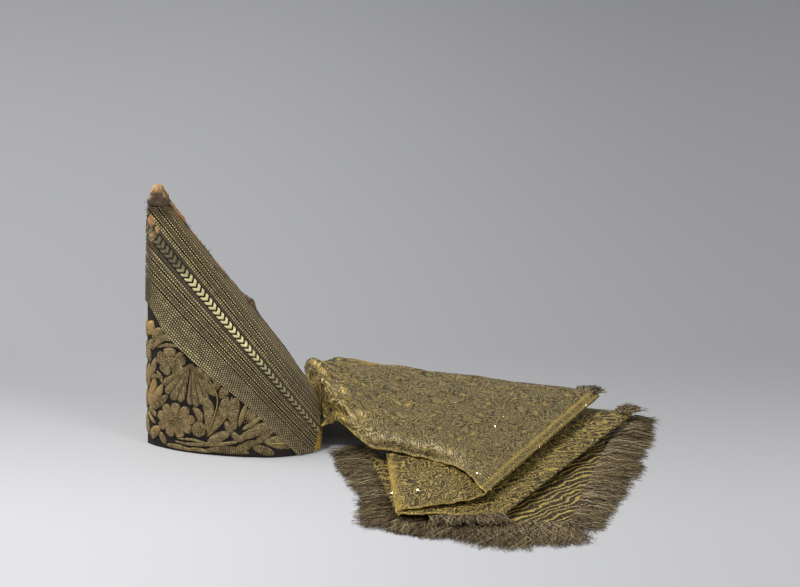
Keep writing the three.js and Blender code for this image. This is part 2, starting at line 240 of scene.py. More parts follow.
class Pile:
    """Points, faces and named shades of many small meshes that become one object."""

    def __init__(self):
        self.points, self.faces, self.shades, self.count = [], [], {}, 0

    def add(self, points, faces, **shades):
        points = np.asarray(points, float).reshape(-1, 3)
        self.points.append(points)
        self.faces.append(np.asarray(faces) + self.count)
        self.count += len(points)
        for key, value in shades.items():
            shape = (len(points), 3) if key == "flat" else (len(points),)
            value = np.asarray(value, float)
            full = value.reshape(shape) if value.size == math.prod(shape) else value
            self.shades.setdefault(key, []).append(np.broadcast_to(full, shape))

    def add_wall(self, outer, inner, closed=False, **shades):
        """A closed wall between two grids, with the same shades on both of its faces."""
        points, faces = shell(outer, inner, closed)
        twice = {key: np.concatenate([value, value]) for key, value in shades.items()}
        self.add(points, faces, **twice)

    def mirrored(self):
        other = Pile()
        other.points = [p * (1, -1, 1) for p in self.points]
        other.faces = [f[:, ::-1] for f in self.faces]
        other.shades, other.count = self.shades, self.count
        return other

    def build(self, name, material, nodes, slot=None):
        """One mesh object in the row frame, riding on the hat and standing for CAD nodes.

        A slot name is worked out from its material's name, without Blender's ending, unless another is
        given, but it is not used.
        """
        slot = slot or material.name.split(".")[0]
        mesh = bpy.data.meshes.new(name)
        faces = [row for group in self.faces for row in group.tolist()]
        points = (np.concatenate(self.points) + SHIFT) * MM
        mesh.from_pydata(points.tolist(), [], faces)
        mesh.shade_smooth()
        for key, parts in self.shades.items():
            values = np.concatenate(parts).astype(np.float32)
            kind = "FLOAT_VECTOR" if values.ndim == 2 else "FLOAT"
            field = "vector" if values.ndim == 2 else "value"
            made = mesh.attributes.new(key, kind, "POINT")
            made.data.foreach_set(field, values.ravel())
        mesh.materials.append(material)
        piece = place_in_scene(name, mesh)
        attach(piece, "root")
        if nodes:
            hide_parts(*nodes)
        return piece


# Material building
def tone(red, green, blue):
    """A colour as seen on a screen, 0 to 255, as Blender's linear colour."""
    shares = np.array([red, green, blue]) / 255
    linear = np.where(shares <= 0.04045, shares / 12.92, ((shares + 0.055) / 1.055) ** 2.4)
    return (*linear.tolist(), 1.0)


class Shading:
    """A material's node tree with short calls for the nodes used here."""

    def __init__(self, name):
        self.material = bpy.data.materials.new(name)
        self.material.use_nodes = True
        self.tree = self.material.node_tree
        self.tree.nodes.clear()

    def node(self, kind, inputs=None, **settings):
        made = self.tree.nodes.new("ShaderNode" + kind)
        for key, value in settings.items():
            setattr(made, key, value)
        for key, value in (inputs or {}).items():
            if isinstance(value, bpy.types.NodeSocket):
                self.tree.links.new(value, made.inputs[key])
            else:
                made.inputs[key].default_value = value
        return made

    def shade(self, name):
        return self.node("Attribute", attribute_name=name).outputs["Fac"]

    def vector(self, name):
        return self.node("Attribute", attribute_name=name).outputs["Vector"]

    def place(self):
        """Position in millimetres."""
        here = self.node("NewGeometry").outputs["Position"]
        return self.vector_math("MULTIPLY", here, [1 / MM] * 3)

    def vector_math(self, operation, a, b):
        made = self.node("VectorMath", {0: a, 1: b}, operation=operation)
        return made.outputs["Value" if operation == "DOT_PRODUCT" else "Vector"]

    def math(self, operation, a, b=0.0, c=0.0):
        return self.node("Math", {0: a, 1: b, 2: c}, operation=operation).outputs[0]

    def step(self, value, low, high, to_low=0.0, to_high=1.0):
        inputs = {"Value": value, "From Min": low, "From Max": high}
        inputs.update({"To Min": to_low, "To Max": to_high})
        return self.node("MapRange", inputs, interpolation_type="SMOOTHSTEP").outputs["Result"]

    def mix(self, share, a, b):
        made = self.node("Mix", data_type="RGBA")
        for index, value in ((0, share), (6, a), (7, b)):
            if isinstance(value, bpy.types.NodeSocket):
                self.tree.links.new(value, made.inputs[index])
            else:
                made.inputs[index].default_value = value
        return made.outputs[2]

    def coat(self, colour, share, red, green, blue):
        """A colour with a share of another tone over it."""
        return self.mix(share, colour, tone(red, green, blue))

    def noise(self, where, size, detail=3.0, rough=0.55):
        inputs = {"Vector": where, "Scale": 1 / size, "Detail": detail, "Roughness": rough}
        return self.node("TexNoise", inputs).outputs["Fac"]

    def bump(self, height, distance):
        inputs = {"Height": height, "Distance": distance * MM, "Strength": 1.0}
        return self.node("Bump", inputs).outputs["Normal"]

    def finish(self, colour, normal, rough, metal, **constants):
        inputs = {"Base Color": colour, "Normal": normal}
        inputs.update({"Roughness": rough, "Metallic": metal, **constants})
        shader = self.node("BsdfPrincipled", inputs)
        self.node("OutputMaterial", {"Surface": shader.outputs[0]})
        return self.material


REAR_RIBS = (164, 169)
REAR_RIB_PITCH = 3.4


def velvet_material():
    """Brown-black velvet; towards the rear seam it is worn to fine brown ribs along the braids."""
    s = Shading("velvet")
    place = s.place()
    level = s.shade("level")
    pile = s.noise(place, 1.2, 2)
    ribs = s.math("SINE", s.math("MULTIPLY", level, 2 * math.pi / REAR_RIB_PITCH))
    rubbed = s.step(level, *REAR_RIBS)
    patchy = s.noise(place, 9.0, 4)
    dark = s.mix(pile, tone(14, 11, 9), tone(38, 29, 21))
    brown = s.mix(s.step(ribs, -0.8, 0.9), tone(36, 27, 18), tone(176, 154, 108))
    brown = s.coat(brown, s.step(patchy, 0.5, 0.72), 88, 68, 58)
    colour = s.mix(rubbed, dark, brown)
    height = s.math("MULTIPLY_ADD", ribs, 0.5, pile)
    return s.finish(colour, s.bump(height, 0.35), rough=0.85, metal=0.0)


def gold_thread_material(name, low, high, shine, rough):
    """Metal thread: brown where worn or dull, gold where its tone and painted highlight are high, near
    black under painted shade in the gaps between beads, ribs and cords.
    """
    s = Shading(name)
    place = s.place()
    flecks = s.noise(place, 1.5, 2, 0.7)
    worn = s.noise(place, 14.0, 4)
    # This shade holds the thread's gold tone and a painted highlight on the tops of beads and ribs
    gleam = s.shade("gleam")
    uneven = s.math("MULTIPLY", gleam, s.step(flecks, 0.3, 0.62, 0.45, 1.25))
    uneven = s.math("MULTIPLY", uneven, s.step(worn, 0.3, 0.6, 0.8, 1.2))
    colour = s.mix(uneven, low, high)
    # Painted shade, near black, in the gaps between beads, ribs and cords, and a little on worn places
    colour = s.coat(colour, s.step(s.shade("groove"), 0.15, 0.95), 16, 12, 8)
    metal = s.math("MULTIPLY", uneven, shine)
    return s.finish(colour, s.bump(flecks, 0.25), rough=rough, metal=metal)


THREAD_PITCH = 1.7


def embroidery_material():
    """Gold thread laid crosswise over padding, dull and brownish, with dark lines between threads."""
    s = Shading("padded_gold")
    flat = s.vector("flat")
    place = s.place()
    parts = s.node("SeparateXYZ", {0: flat})
    wobble = s.noise(place, 3.0, 2)
    along = s.math("MULTIPLY_ADD", wobble, 0.8, parts.outputs[0])
    threads = s.math("SINE", s.math("MULTIPLY", along, 2 * math.pi / THREAD_PITCH))
    patches = s.noise(place, 7.0, 4)
    specks = s.noise(place, 1.4, 2, 0.7)
    base = s.mix(s.step(patches, 0.36, 0.66), tone(126, 106, 66), tone(176, 152, 102))
    base = s.coat(base, s.step(threads, -1.0, 0.4, 0.8, 0.0), 66, 52, 32)
    base = s.coat(base, s.step(specks, 0.54, 0.7), 200, 180, 122)
    base = s.coat(base, s.step(specks, 0.34, 0.48, 0.7, 0.0), 58, 45, 28)
    colour = s.coat(base, s.step(s.shade("gleam"), 0.5, 1.0, 0.0, 0.75), 206, 182, 112)
    # Painted shade at the edges and ends of pads, between flutes and ribs and round the feet of knots
    colour = s.coat(colour, s.shade("groove"), 32, 24, 15)
    warm = s.math("MULTIPLY", s.shade("warm"), s.step(patches, 0.3, 0.55))
    colour = s.coat(colour, warm, 186, 148, 88)
    height = s.math("MULTIPLY_ADD", threads, 0.5, specks)
    return s.finish(colour, s.bump(height, 0.3), rough=0.5, metal=0.3)


def silk_material(name, light, dark, stain):
    """Plain silk with stains, and with painted shade that darkens its creases."""
    s = Shading(name)
    place = s.place()
    creases = s.noise(place, 5.0, 5, 0.6)
    stains = s.noise(place, 12.0, 4)
    weave = s.noise(place, 0.6, 1)
    # Painted shade: darker where the crease noise, which also makes the bump, dips
    colour = s.mix(s.step(creases, 0.35, 0.65), dark, light)
    colour = s.mix(s.step(stains, 0.52, 0.7), colour, stain)
    colour = s.coat(colour, s.shade("groove"), 42, 32, 24)
    height = s.math("MULTIPLY_ADD", weave, 0.3, creases)
    return s.finish(colour, s.bump(height, 0.5), rough=0.55, metal=0.0, **{"Sheen Weight": 0.2})


def fringe_material():
    """Brown threads, each strand with its own tone by the gleam shade."""
    s = Shading("fringe_brown")
    place = s.place()
    strand = s.shade("gleam")
    colour = s.mix(s.step(strand, 0.0, 0.75), tone(58, 44, 28), tone(166, 144, 102))
    colour = s.coat(colour, s.step(strand, 0.8, 1.0), 226, 208, 164)
    grain = s.noise(place, 0.7, 2)
    colour = s.coat(colour, s.step(grain, 0.3, 0.7, 0.35, 0.0), 36, 27, 17)
    return s.finish(colour, s.bump(grain, 0.2), rough=0.5, metal=0.25)


def sequin_material():
    """Pale gold discs."""
    s = Shading("sequin")
    grain = s.noise(s.place(), 1.5, 1)
    colour = s.mix(grain, tone(214, 188, 110), tone(250, 240, 205))
    return s.finish(colour, s.bump(grain, 0.05), rough=0.16, metal=0.9)


# Brocade pattern: how far it is bent, and the sizes of its scrolls, flowers and stripes
PATTERN_BEND = 26.0
SCROLL_SIZE = 22.0
SCROLL_RINGS = 10.0
FLOWER_SPACING = 46.0
FLOWER_RADIUS = 7.5
PETAL_COUNT = 6.0
PETAL_DEPTH = 1.7
STRIPE_SIZE = 22


def brocade_material():
    """Woven gold brocade. The flat shade holds millimetres across and along the cloth."""
    s = Shading("veil_gold")
    flat = s.vector("flat")
    warp = s.node("TexNoise", {"Vector": flat, "Scale": 1 / 34, "Detail": 2.0}).outputs["Color"]
    centred = s.vector_math("SUBTRACT", warp, (0.5, 0.5, 0.5))
    moved = s.vector_math("MULTIPLY", centred, [PATTERN_BEND] * 3)
    bent = s.vector_math("ADD", flat, moved)

    # Scrolls follow the contours of a slow noise
    hills = s.noise(bent, SCROLL_SIZE, 1.0)
    rings = s.math("PINGPONG", s.math("MULTIPLY", hills, SCROLL_RINGS), 0.5)
    scroll = s.step(rings, 0.08, 0.2, 1.0, 0.0)
    fine = s.noise(bent, 4.5, 3, 0.6)
    leaves = s.step(fine, 0.52, 0.6)

    # Flowers on a loose lattice, petals by the angle round each centre
    cells = s.node("TexVoronoi", {"Vector": bent, "Scale": 1 / FLOWER_SPACING, "Randomness": 0.45},
                   voronoi_dimensions="2D")
    offset = s.node("SeparateXYZ", {0: s.vector_math("SUBTRACT", bent, cells.outputs["Position"])})
    angle = s.math("ARCTAN2", offset.outputs[1], offset.outputs[0])
    radius = s.math("MULTIPLY", cells.outputs["Distance"], FLOWER_SPACING)
    wave = s.math("COSINE", s.math("MULTIPLY", angle, PETAL_COUNT))
    lobes = s.math("MULTIPLY_ADD", wave, PETAL_DEPTH, FLOWER_RADIUS)
    edge = s.math("SUBTRACT", radius, lobes)
    flower = s.step(edge, -0.8, 0.4, 0.8, 0.0)
    flower_rim = s.step(s.math("ABSOLUTE", edge), 0.7, 1.5, 1.0, 0.0)
    heart = s.step(radius, 1.6, 2.6, 1.0, 0.0)

    # Slanting wavy stripes of the lower layers
    stripe_in = {"Vector": bent, "Scale": 1 / STRIPE_SIZE, "Distortion": 2.2, "Detail": 2.0,
                 "Detail Scale": 1.6}
    stripes = s.node("TexWave", stripe_in, bands_direction="DIAGONAL").outputs["Fac"]
    stripe = s.step(stripes, 0.7, 0.93)

    threads = s.noise(flat, 2.0, 3, 0.75)
    faint = s.step(s.noise(flat, 26.0, 2), 0.4, 0.58, 0.3, 1.0)
    patches = s.noise(flat, 20.0, 3)
    face = s.mix(s.step(patches, 0.35, 0.65), tone(116, 100, 54), tone(140, 122, 70))
    face = s.coat(face, leaves, 92, 78, 44)
    pale_line = s.step(rings, 0.3, 0.4)
    face = s.coat(face, pale_line, 152, 134, 82)
    face = s.coat(face, s.math("MULTIPLY", scroll, faint), 56, 48, 28)
    face = s.coat(face, flower, 150, 122, 64)
    face = s.coat(face, flower_rim, 66, 60, 40)
    face = s.coat(face, heart, 178, 160, 98)

    veins = s.step(rings, 0.26, 0.38)
    low_veins = s.mix(s.shade("striped"), veins, stripe)
    back = s.mix(low_veins, tone(48, 35, 18), tone(208, 180, 92))
    colour = s.mix(s.shade("reverse"), face, back)
    colour = s.coat(colour, s.shade("plain"), 206, 172, 78)
    colour = s.coat(colour, s.step(threads, 0.38, 0.53, 0.8, 0.0), 38, 29, 14)
    colour = s.coat(colour, s.step(threads, 0.56, 0.67, 0.0, 0.85), 196, 174, 104)
    relief = s.math("MULTIPLY_ADD", scroll, -0.5, threads)
    relief = s.math("MULTIPLY_ADD", flower, 0.5, relief)
    return s.finish(colour, s.bump(relief, 0.5), rough=0.45, metal=0.32)


velvet = velvet_material()
braid_gold = gold_thread_material("braid_gold", tone(142, 116, 76), tone(255, 236, 164),
                                  shine=0.2, rough=0.42)
chevron_gold = gold_thread_material("chevron_gold", tone(122, 104, 68), tone(255, 242, 178),
                                    shine=0.25, rough=0.38)
ribbed_brown = gold_thread_material("ribbed_brown", tone(122, 100, 64), tone(255, 234, 164),
                                    shine=0.15, rough=0.5)
padded_gold = embroidery_material()
yellow_silk = silk_material("yellow_silk", tone(232, 188, 74), tone(204, 156, 54), tone(182, 134, 48))
worn_silk = silk_material("worn_silk", tone(206, 170, 112), tone(150, 104, 58), tone(186, 122, 48))
fringe_brown = fringe_material()
sequin_gold = sequin_material()
veil_gold = brocade_material()

# Crown cloth: velvet under the embroidery, and worn ribs that rise towards the rear seam
CROWN_COLUMNS = 240
REAR_LIFT = 1.3
# The rear arch is lower than ARCH_TOP. The walls thin out where the half width is below THIN_FROM
ARCH_TOP = 150
THIN_FROM = 6


def arch_heights(turns, extra):
    """Lowest height at each turn that lies in front of the arched rear cut moved back by extra."""
    heights = np.linspace(0, ARCH_TOP, 601)
    x = bare_outline(turns[None, :], heights[:, None])[..., 0]
    behind = x > ARCH_FOOT + extra + ARCH_LEAN * heights[:, None]
    return np.where(behind.any(0), heights[len(heights) - 1 - behind[::-1].argmax(0)], 0.0)


def even_turns(count):
    """Turns all the way round, evenly spaced at a low height."""
    row = ARC_TABLE[12]
    half = np.interp(np.linspace(0, row[-1], count // 2 + 1), row, ARC_TURNS)
    return np.concatenate([half, -half[-2:0:-1]])


def crown_wall(name, material, node, outer, thickness, foot, top, extra, rows):
    """Cloth round the crown from foot to top; outer is how deep it lies under the embroidery."""
    turns = even_turns(CROWN_COLUMNS)
    lowest = np.maximum(arch_heights(np.abs(turns), extra), foot)
    share = np.linspace(0, 1, rows)[:, None]
    z = lowest * (1 - share) + top * share
    turn = np.broadcast_to(turns, z.shape)
    x = bare_outline(turn, z)[..., 0]
    level = level_of(x, z)
    half = section("half", z) * RIM_WIDTH / 2
    fit = np.minimum(1, half / THIN_FROM)
    rise = REAR_LIFT * smooth(level, *REAR_RIBS) if name == "crown_cloth" else 0 * z
    outside = outline(turn, z, (-outer + rise) * fit)
    inside = outline(turn, z, -(outer + thickness) * fit)
    pile = Pile()
    pile.add_wall(outside, inside, True, level=level, groove=0 * level)
    pile.build(name, material, [node])


crown_wall("crown_cloth", velvet, "crown", outer=EMBROIDERY, thickness=CROWN_WALL,
           foot=0.0, top=HEIGHT - 4, extra=0.0, rows=110)
crown_wall("lining_silk", yellow_silk, "lining", outer=EMBROIDERY + CROWN_WALL + 0.3,
           thickness=LINING_WALL, foot=1.5, top=258.0, extra=11.0, rows=60)

# Braids: raised cords along the levels, with beads and ribs across them
CORD_STEP = 0.6
CORD_PROFILE = ((0.0, 0.05), (0.22, 0.75), (0.5, 1.0), (0.78, 0.75), (1.0, 0.05))
CORD_SUNK = 0.25
BRAID_HEIGHT = 0.9
BEAD = 2.9
EDGE_ROW = 2.3
SEAM_GAP = 0.85
ROW_GAP = 0.05
ABREAST_ZERO = -130.0
# Ribbed band: its levels, the pitch of its ribs and how far its lower edge sags in front
RIBBED_FROM, RIBBED_TO, RIBBED_PITCH, RIBBED_SAG = 60.8, 84.6, 2.35, 14.0


def braid_path(level, count):
    """Near-side points of a level line from the front ridge down to the arch or the floor."""
    slope = float(slope_at(level))
    heights = np.linspace(0, HEIGHT, 571)
    ridge = heights + slope * section("front", heights)
    top = min(np.interp(level, ridge, heights), TIP_FROM - 0.5)
    bottom = max(SKIN_FOOT, (level - ARCH_FOOT * slope) / (1 + ARCH_LEAN * slope))
    share = np.sin(np.linspace(0, math.pi / 2, 900)) ** 2
    z = bottom + (top - bottom) * (1 - share)
    x = (level - z) / slope
    behind = x - section("front", z)
    sagging = np.clip((RIBBED_TO - level) / (RIBBED_TO - RIBBED_FROM), 0, 1)
    z = z - RIBBED_SAG * sagging * smooth(behind, 0, 20) * (1 - smooth(behind, 25, 115))
    front, rear = section("front", z), section("rear", z)
    middle = front + WIDEST * (rear - front)
    ahead = x < middle
    reach = np.where(ahead, middle - front, rear - middle)
    power = 2 / np.where(ahead, section("nose", z), REAR_ROUNDNESS)
    along = np.clip(np.abs(x - middle) / reach, 0, 1) ** (1 / power)
    turn = np.arccos(np.clip(np.where(ahead, along, -along), -1, 1))
    run = distances(bare_outline(turn, z))
    even = np.linspace(0, run[-1], count)
    return np.interp(even, run, turn), np.interp(even, run, z), run[-1]


def abreast(turn, z, s, slope):
    """Distance along a braid counted so that points straight across it from each other agree."""
    here = bare_outline(turn, z)
    along = (here[:, 0] - slope * here[:, 2]) / math.hypot(1, slope)
    return s - np.interp(ABREAST_ZERO, along, s)


def lit(run, z):
    """How bright the metal is: darker within about 20 mm of the front ridge, darker low down towards the
    rear and a little darker near the tip.
    """
    return smooth(run, 7, 20) * (0.55 + 0.45 * smooth(z, 55, 125)) * (1 - 0.15 * smooth(z, 240, 262))


def two_sided(points, gleams, painted_shade_and_wear_rows):
    """A grid of points on the near side and its mirror image on the far side, in one pile."""
    points = np.array(points)
    shades = dict(gleam=np.array(gleams), groove=np.array(painted_shade_and_wear_rows))
    pile = Pile()
    pile.add(points, grid_faces(*points.shape[:2])[:, ::-1], **shades)
    far = pile.mirrored()
    pile.add(far.points[0], far.faces[0], **shades)
    return pile


def braid(name, material, node, low, high, cords, height):
    """A band from level low to high. Each cord says low, high, how gold it is and its bead pitch."""
    rows = [dict(level=low, height=-height, gold=0.0, pitch=0.0)]
    for number, cord in enumerate(cords):
        for share, rise in CORD_PROFILE:
            level = cord["low"] + share * (cord["high"] - cord["low"])
            # Little gold on the low flanks of each cord: painted shade between the cords
            gold = cord["gold"] * (0.1 if rise < 0.5 else 1.0)
            rows.append(dict(level=level, height=rise, gold=gold, pitch=cord["pitch"],
                             phase=0.5 * number))
    rows.append(dict(level=high, height=-height, gold=0.0, pitch=0.0))
    length = braid_path((low + high) / 2, 4)[2]
    slope = float(slope_at((low + high) / 2))
    count = int(length / CORD_STEP)
    points, gleams, painted_shade_and_wear_rows = [], [], []
    for row in rows:
        turn, z, run = braid_path(row["level"], count)
        s = np.linspace(0, run, count)
        base = row["height"]
        wave = bead = luck = 1.0
        lift = -EMBROIDERY + 0 * s
        if base > 0:
            beads = abreast(turn, z, s, slope) / row["pitch"] + row["phase"]
            wave = np.abs(np.sin(math.pi * beads))
            bead = 0.05 + 0.95 * wave
            luck = 0.8 + 0.5 * noise(beads, 3 * row["phase"] + 0 * s, 5)
            lift = base * bead * height
        points.append(outline(turn, z, lift - CORD_SUNK))
        # Painted highlight on the bead tops and painted shade in the gaps between beads and cords, over
        # each cord's gold tone
        tone_with_highlight = row["gold"] * lit(s, z) * luck * (1.3 * wave - 0.15)
        gleams.append(np.clip(tone_with_highlight, 0, 1) + 0 * s)
        dull = 0.3 * (1 - row["gold"])
        painted_shade_and_wear_rows.append(np.clip(1.2 + dull - np.clip(base, 0, 1) * bead * 1.45, 0, 1) + 0 * s)
    two_sided(points, gleams, painted_shade_and_wear_rows).build(name, material, [node])


def cord(low, high, gold, pitch):
    """One cord of a braid, from level low to high."""
    return dict(low=low, high=high, gold=gold, pitch=pitch)


def edged(low, high, gold, middle_rows):
    """A braid with a beaded row along each edge and duller rows between them."""
    first = low + SEAM_GAP
    last = high - SEAM_GAP
    width = (last - first - 2 * EDGE_ROW) / middle_rows
    rows = [cord(first, first + EDGE_ROW, gold, BEAD)]
    for k in range(middle_rows):
        start = first + EDGE_ROW + k * width
        shine = 0.4 if k == middle_rows // 2 else 0.22
        rows.append(cord(start + ROW_GAP, start + width - ROW_GAP, gold=shine, pitch=1.9))
    rows.append(cord(last - EDGE_ROW, last, gold * 0.9, BEAD))
    return rows


def brown_rows(low, high, count):
    """Plain brown cords, as beside the chevrons."""
    width = (high - low) / count
    return [cord(low + k * width + ROW_GAP, low + (k + 1) * width - ROW_GAP, gold=0.1, pitch=1.6)
            for k in range(count)]


# Name, low and high level and the cords between them
BRAIDS = [
    ("low_1", 84.6, 95.4, edged(84.6, 95.4, 0.85, 3)),
    ("low_2", 95.4, 106.6, edged(95.4, 106.6, 1.0, 3)),
    ("low_3", 106.6, 119.2, edged(106.6, 115.2, 1.0, 2) + brown_rows(115.2, 119.1, 2)),
    ("high_1", 132.4, 143.6, brown_rows(132.5, 136.2, 2) + edged(136.2, 143.6, 1.0, 1)),
    ("high_2", 143.6, 155.8, edged(143.6, 155.8, 0.95, 4)),
    ("high_3", 155.8, 168.0, edged(155.8, 168.0, 0.8, 4)),
]
for part, low, high, cords in BRAIDS:
    braid("cords_" + part, braid_gold, "braid_" + part, low, high, cords, BRAID_HEIGHT)
ribbed_cords = []
for k in range(int((RIBBED_TO - RIBBED_FROM) / RIBBED_PITCH)):
    rib = RIBBED_FROM + 0.1 + k * RIBBED_PITCH
    shine = 0.85 if k < 3 else 0.62
    ribbed_cords.append(cord(rib, rib + RIBBED_PITCH - 0.15, gold=shine, pitch=2.7))
braid("ribbed_cords", ribbed_brown, "ribbed_band", RIBBED_FROM, RIBBED_TO, ribbed_cords, height=0.85)

# Chevron braid: slanting ribs that meet in a point towards the rear
CHEVRON = dict(low=119.2, high=132.4, point=0.5, pitch=6.5, upper=3.4, lower=4.4, height=1.7)
CHEVRON_ROWS = 17
CHEVRON_STEP = 0.5
CHEVRON_WORN = (186, 206)


def chevrons():
    """The bright braid; its ribs are whole up to a height and worn faint above it."""
    c = CHEVRON
    shares = np.linspace(0, 1, CHEVRON_ROWS)
    slope = float(slope_at((c["low"] + c["high"]) / 2))
    count = int(braid_path((c["low"] + c["high"]) / 2, 4)[2] / CHEVRON_STEP)
    points, gleams, painted_shade_and_wear_rows = [], [], []
    for share in shares:
        turn, z, run = braid_path(c["low"] + share * (c["high"] - c["low"]), count)
        s = np.linspace(0, run, count)
        above = (share - c["point"]) / (1 - c["point"])
        below = (c["point"] - share) / c["point"]
        back = c["upper"] * above if above > 0 else c["lower"] * below
        phase = (abreast(turn, z, s, slope) + back) / c["pitch"]
        wave = 0.5 - 0.5 * np.cos(2 * math.pi * (phase % 1.0))
        rib = smooth(wave, 0.1, 0.5)
        edge = smooth(share, 0, 0.1) * smooth(1 - share, 0, 0.1)
        whole = 1 - 0.65 * smooth(z, *CHEVRON_WORN)
        grain = 0.5 + 0.5 * noise(s / 1.1, share * 9, 8)
        rib = rib * whole + (0.35 + 0.4 * grain) * (1 - whole)
        lift = np.where(edge > 0, c["height"] * rib * edge, 0) - 0.3
        if share in (0.0, 1.0):
            lift = -EMBROIDERY + 0 * s
        # Painted highlight on the rib tops and painted shade between the ribs and at the braid's edges;
        # the faint worn part above is real wear
        tone_with_highlight = rib * (0.22 + 0.78 * smooth(z, 78, 122)) * whole**2 + 0.05 * (1 - whole)
        points.append(outline(turn, z, lift))
        gleams.append(np.clip(tone_with_highlight * edge, 0, 1))
        painted_shade_and_wear_rows.append(np.clip(1 - rib * (0.25 + 0.75 * edge) + 0.3 * (1 - whole), 0, 1))
    pile = two_sided(points, gleams, painted_shade_and_wear_rows)
    pile.build("chevron_ribs", chevron_gold, ["chevron_braid"])


chevrons()

# Tip
CAP_ROWS, CAP_COLUMNS = 26, 64
CAP_DEPTH = 1.4
# Lozenges near the tip where the braid has worn through to the silk: turn, z, half height and width
BARE_PLACES = [(30, 248, 7.5, 3.9), (28, 233, 8.0, 4.0), (46, 239, 4.5, 2.2)]


def tip_cap():
    """Crumpled silk over the tip, with a ragged dark rim, and the bare places below it."""
    turns = np.linspace(0, 2 * math.pi, CAP_COLUMNS, endpoint=False) - math.pi
    z = np.linspace(TIP_FROM, HEIGHT - 0.5, CAP_ROWS)[:, None] + 0 * turns
    turn = np.broadcast_to(turns, z.shape)
    folds = noise(turn * 2.2 + 9, z / 7.0, 11) * 1.5 + noise(turn * 5 + 3, z / 3.0, 12) * 0.6
    top = smooth(z, HEIGHT - 9, HEIGHT)
    outside = outline(turn, z, (0.4 + folds) * (1 - 0.6 * top))
    inside = outline(turn, z, -CAP_DEPTH + 0 * z)
    pile = Pile()
    dark = smooth(noise(turn * 3 + 1, z / 4, 13), 0.1, 0.5) * (1 - top)
    ragged = TIP_FROM + 9 + 5 * noise(turn * 2.5, z / 6, 14)
    dark = np.maximum(dark, 1 - smooth(z, ragged - 2, ragged + 1))
    pile.add_wall(outside, inside, True, groove=dark * 0.85)
    crown = outside[-1]
    centre = crown.mean(0) + (0, 0, 1.0)
    fan = [[k, (k + 1) % CAP_COLUMNS, CAP_COLUMNS] for k in range(CAP_COLUMNS)]
    pile.add(np.vstack([crown, centre]), fan, groove=0.0)
    up_way = np.linspace(-1, 1, 9)[:, None]
    side_way = np.linspace(-1, 1, 7) * (1 - np.abs(up_way) ** 1.6)
    bulge = 1.1 - 0.9 * np.maximum(np.abs(side_way), np.abs(up_way))
    for bare_turn, bare_z, high, wide in BARE_PLACES:
        level = bare_z + high * up_way + 0 * side_way
        spread = wide / np.maximum(round_from_turn(math.radians(bare_turn), level), 4)
        bare_turns = math.radians(bare_turn) * (1 + spread * side_way)
        pile.add(outline(bare_turns, level, bulge), grid_faces(9, 7)[:, ::-1], groove=0.0)
    pile.build("tip_silk", worn_silk, ["tip_cap"])


tip_cap()

# Strip over the rear seam, with its raised fold and torn dark places
SEAM = dict(half=6.5, low=80.0, high=266.0, fold=150.0, fold_half=13.0, out=3.6)
# Torn places: height and half length
TORN = ((240.0, 4.0), (214.0, 12.0), (150.0, 34.0), (95.0, 22.0))


def back_seam():
    """The silk strip over the rear centre line."""
    across = np.linspace(-1, 1, 11)
    z = np.linspace(SEAM["low"], SEAM["high"], 220)[:, None] + 0 * across
    turn_reach = SEAM["half"] / np.maximum(section("half", z) * RIM_WIDTH / 2, 7.0)
    turn = math.pi + across * turn_reach
    hump = np.exp(-((z - SEAM["fold"]) / (SEAM["fold_half"] * 0.6)) ** 2)
    ragged = noise(z / 3.0, across * 2 + 5, 21) * 0.5
    raised = 2.6 * smooth(z, 240, 247)
    lift = -0.9 + raised + hump * (SEAM["out"] + 0.9) * (1 - across**2) + ragged
    dark = np.zeros_like(z)
    for torn_z, half in TORN:
        dark = np.maximum(dark, 1 - smooth(np.abs(z - torn_z), half * 0.7, half))
    dark *= 0.6 + 0.4 * smooth(noise(z / 2.0, across * 3, 22), -0.4, 0.3)
    pile = Pile()
    pile.add_wall(outline(turn, z, lift), outline(turn, z, -2.0 + 0 * z), groove=np.clip(dark, 0, 0.95))
    pile.build("seam_strip", worn_silk, ["back_seam"])


back_seam()

# Padded embroidery, near side; every place is a turn in degrees and a height
PADDING = 2.6
LEAF_FULLNESS = 1.4
FAN_STEPS = 10
LOWEST_STITCH = 0.4
PAD_SUNK = 0.4
FLOWER_SPOT = 1.5
embroidery = {}


def sew(motif, spot, rise, faces, **shades):
    """Adds points, given by distance round, height and rise over the velvet, to a motif."""
    z = np.maximum(spot[..., 1], LOWEST_STITCH)
    turn = turn_from_round(np.maximum(spot[..., 0], 0.0), z)
    embroidery.setdefault(motif, Pile()).add(outline(turn, z, rise), faces, **shades)


def curve(places, count):
    """A smooth line through a few (turn, height) places, as distance round and height."""
    places = np.array(places, float)
    rounds = round_from_turn(np.radians(places[:, 0]), places[:, 1])
    line = np.stack([rounds, places[:, 1]], 1)
    run = distances(line)
    even = np.linspace(0, run[-1], count)
    line = np.stack([np.interp(even, run, line[:, k]) for k in (0, 1)], 1)
    for _ in range(max(1, count // 3) if len(places) > 2 else 0):
        line[1:-1] = 0.5 * line[1:-1] + 0.25 * (line[:-2] + line[2:])
    return line, run[-1]


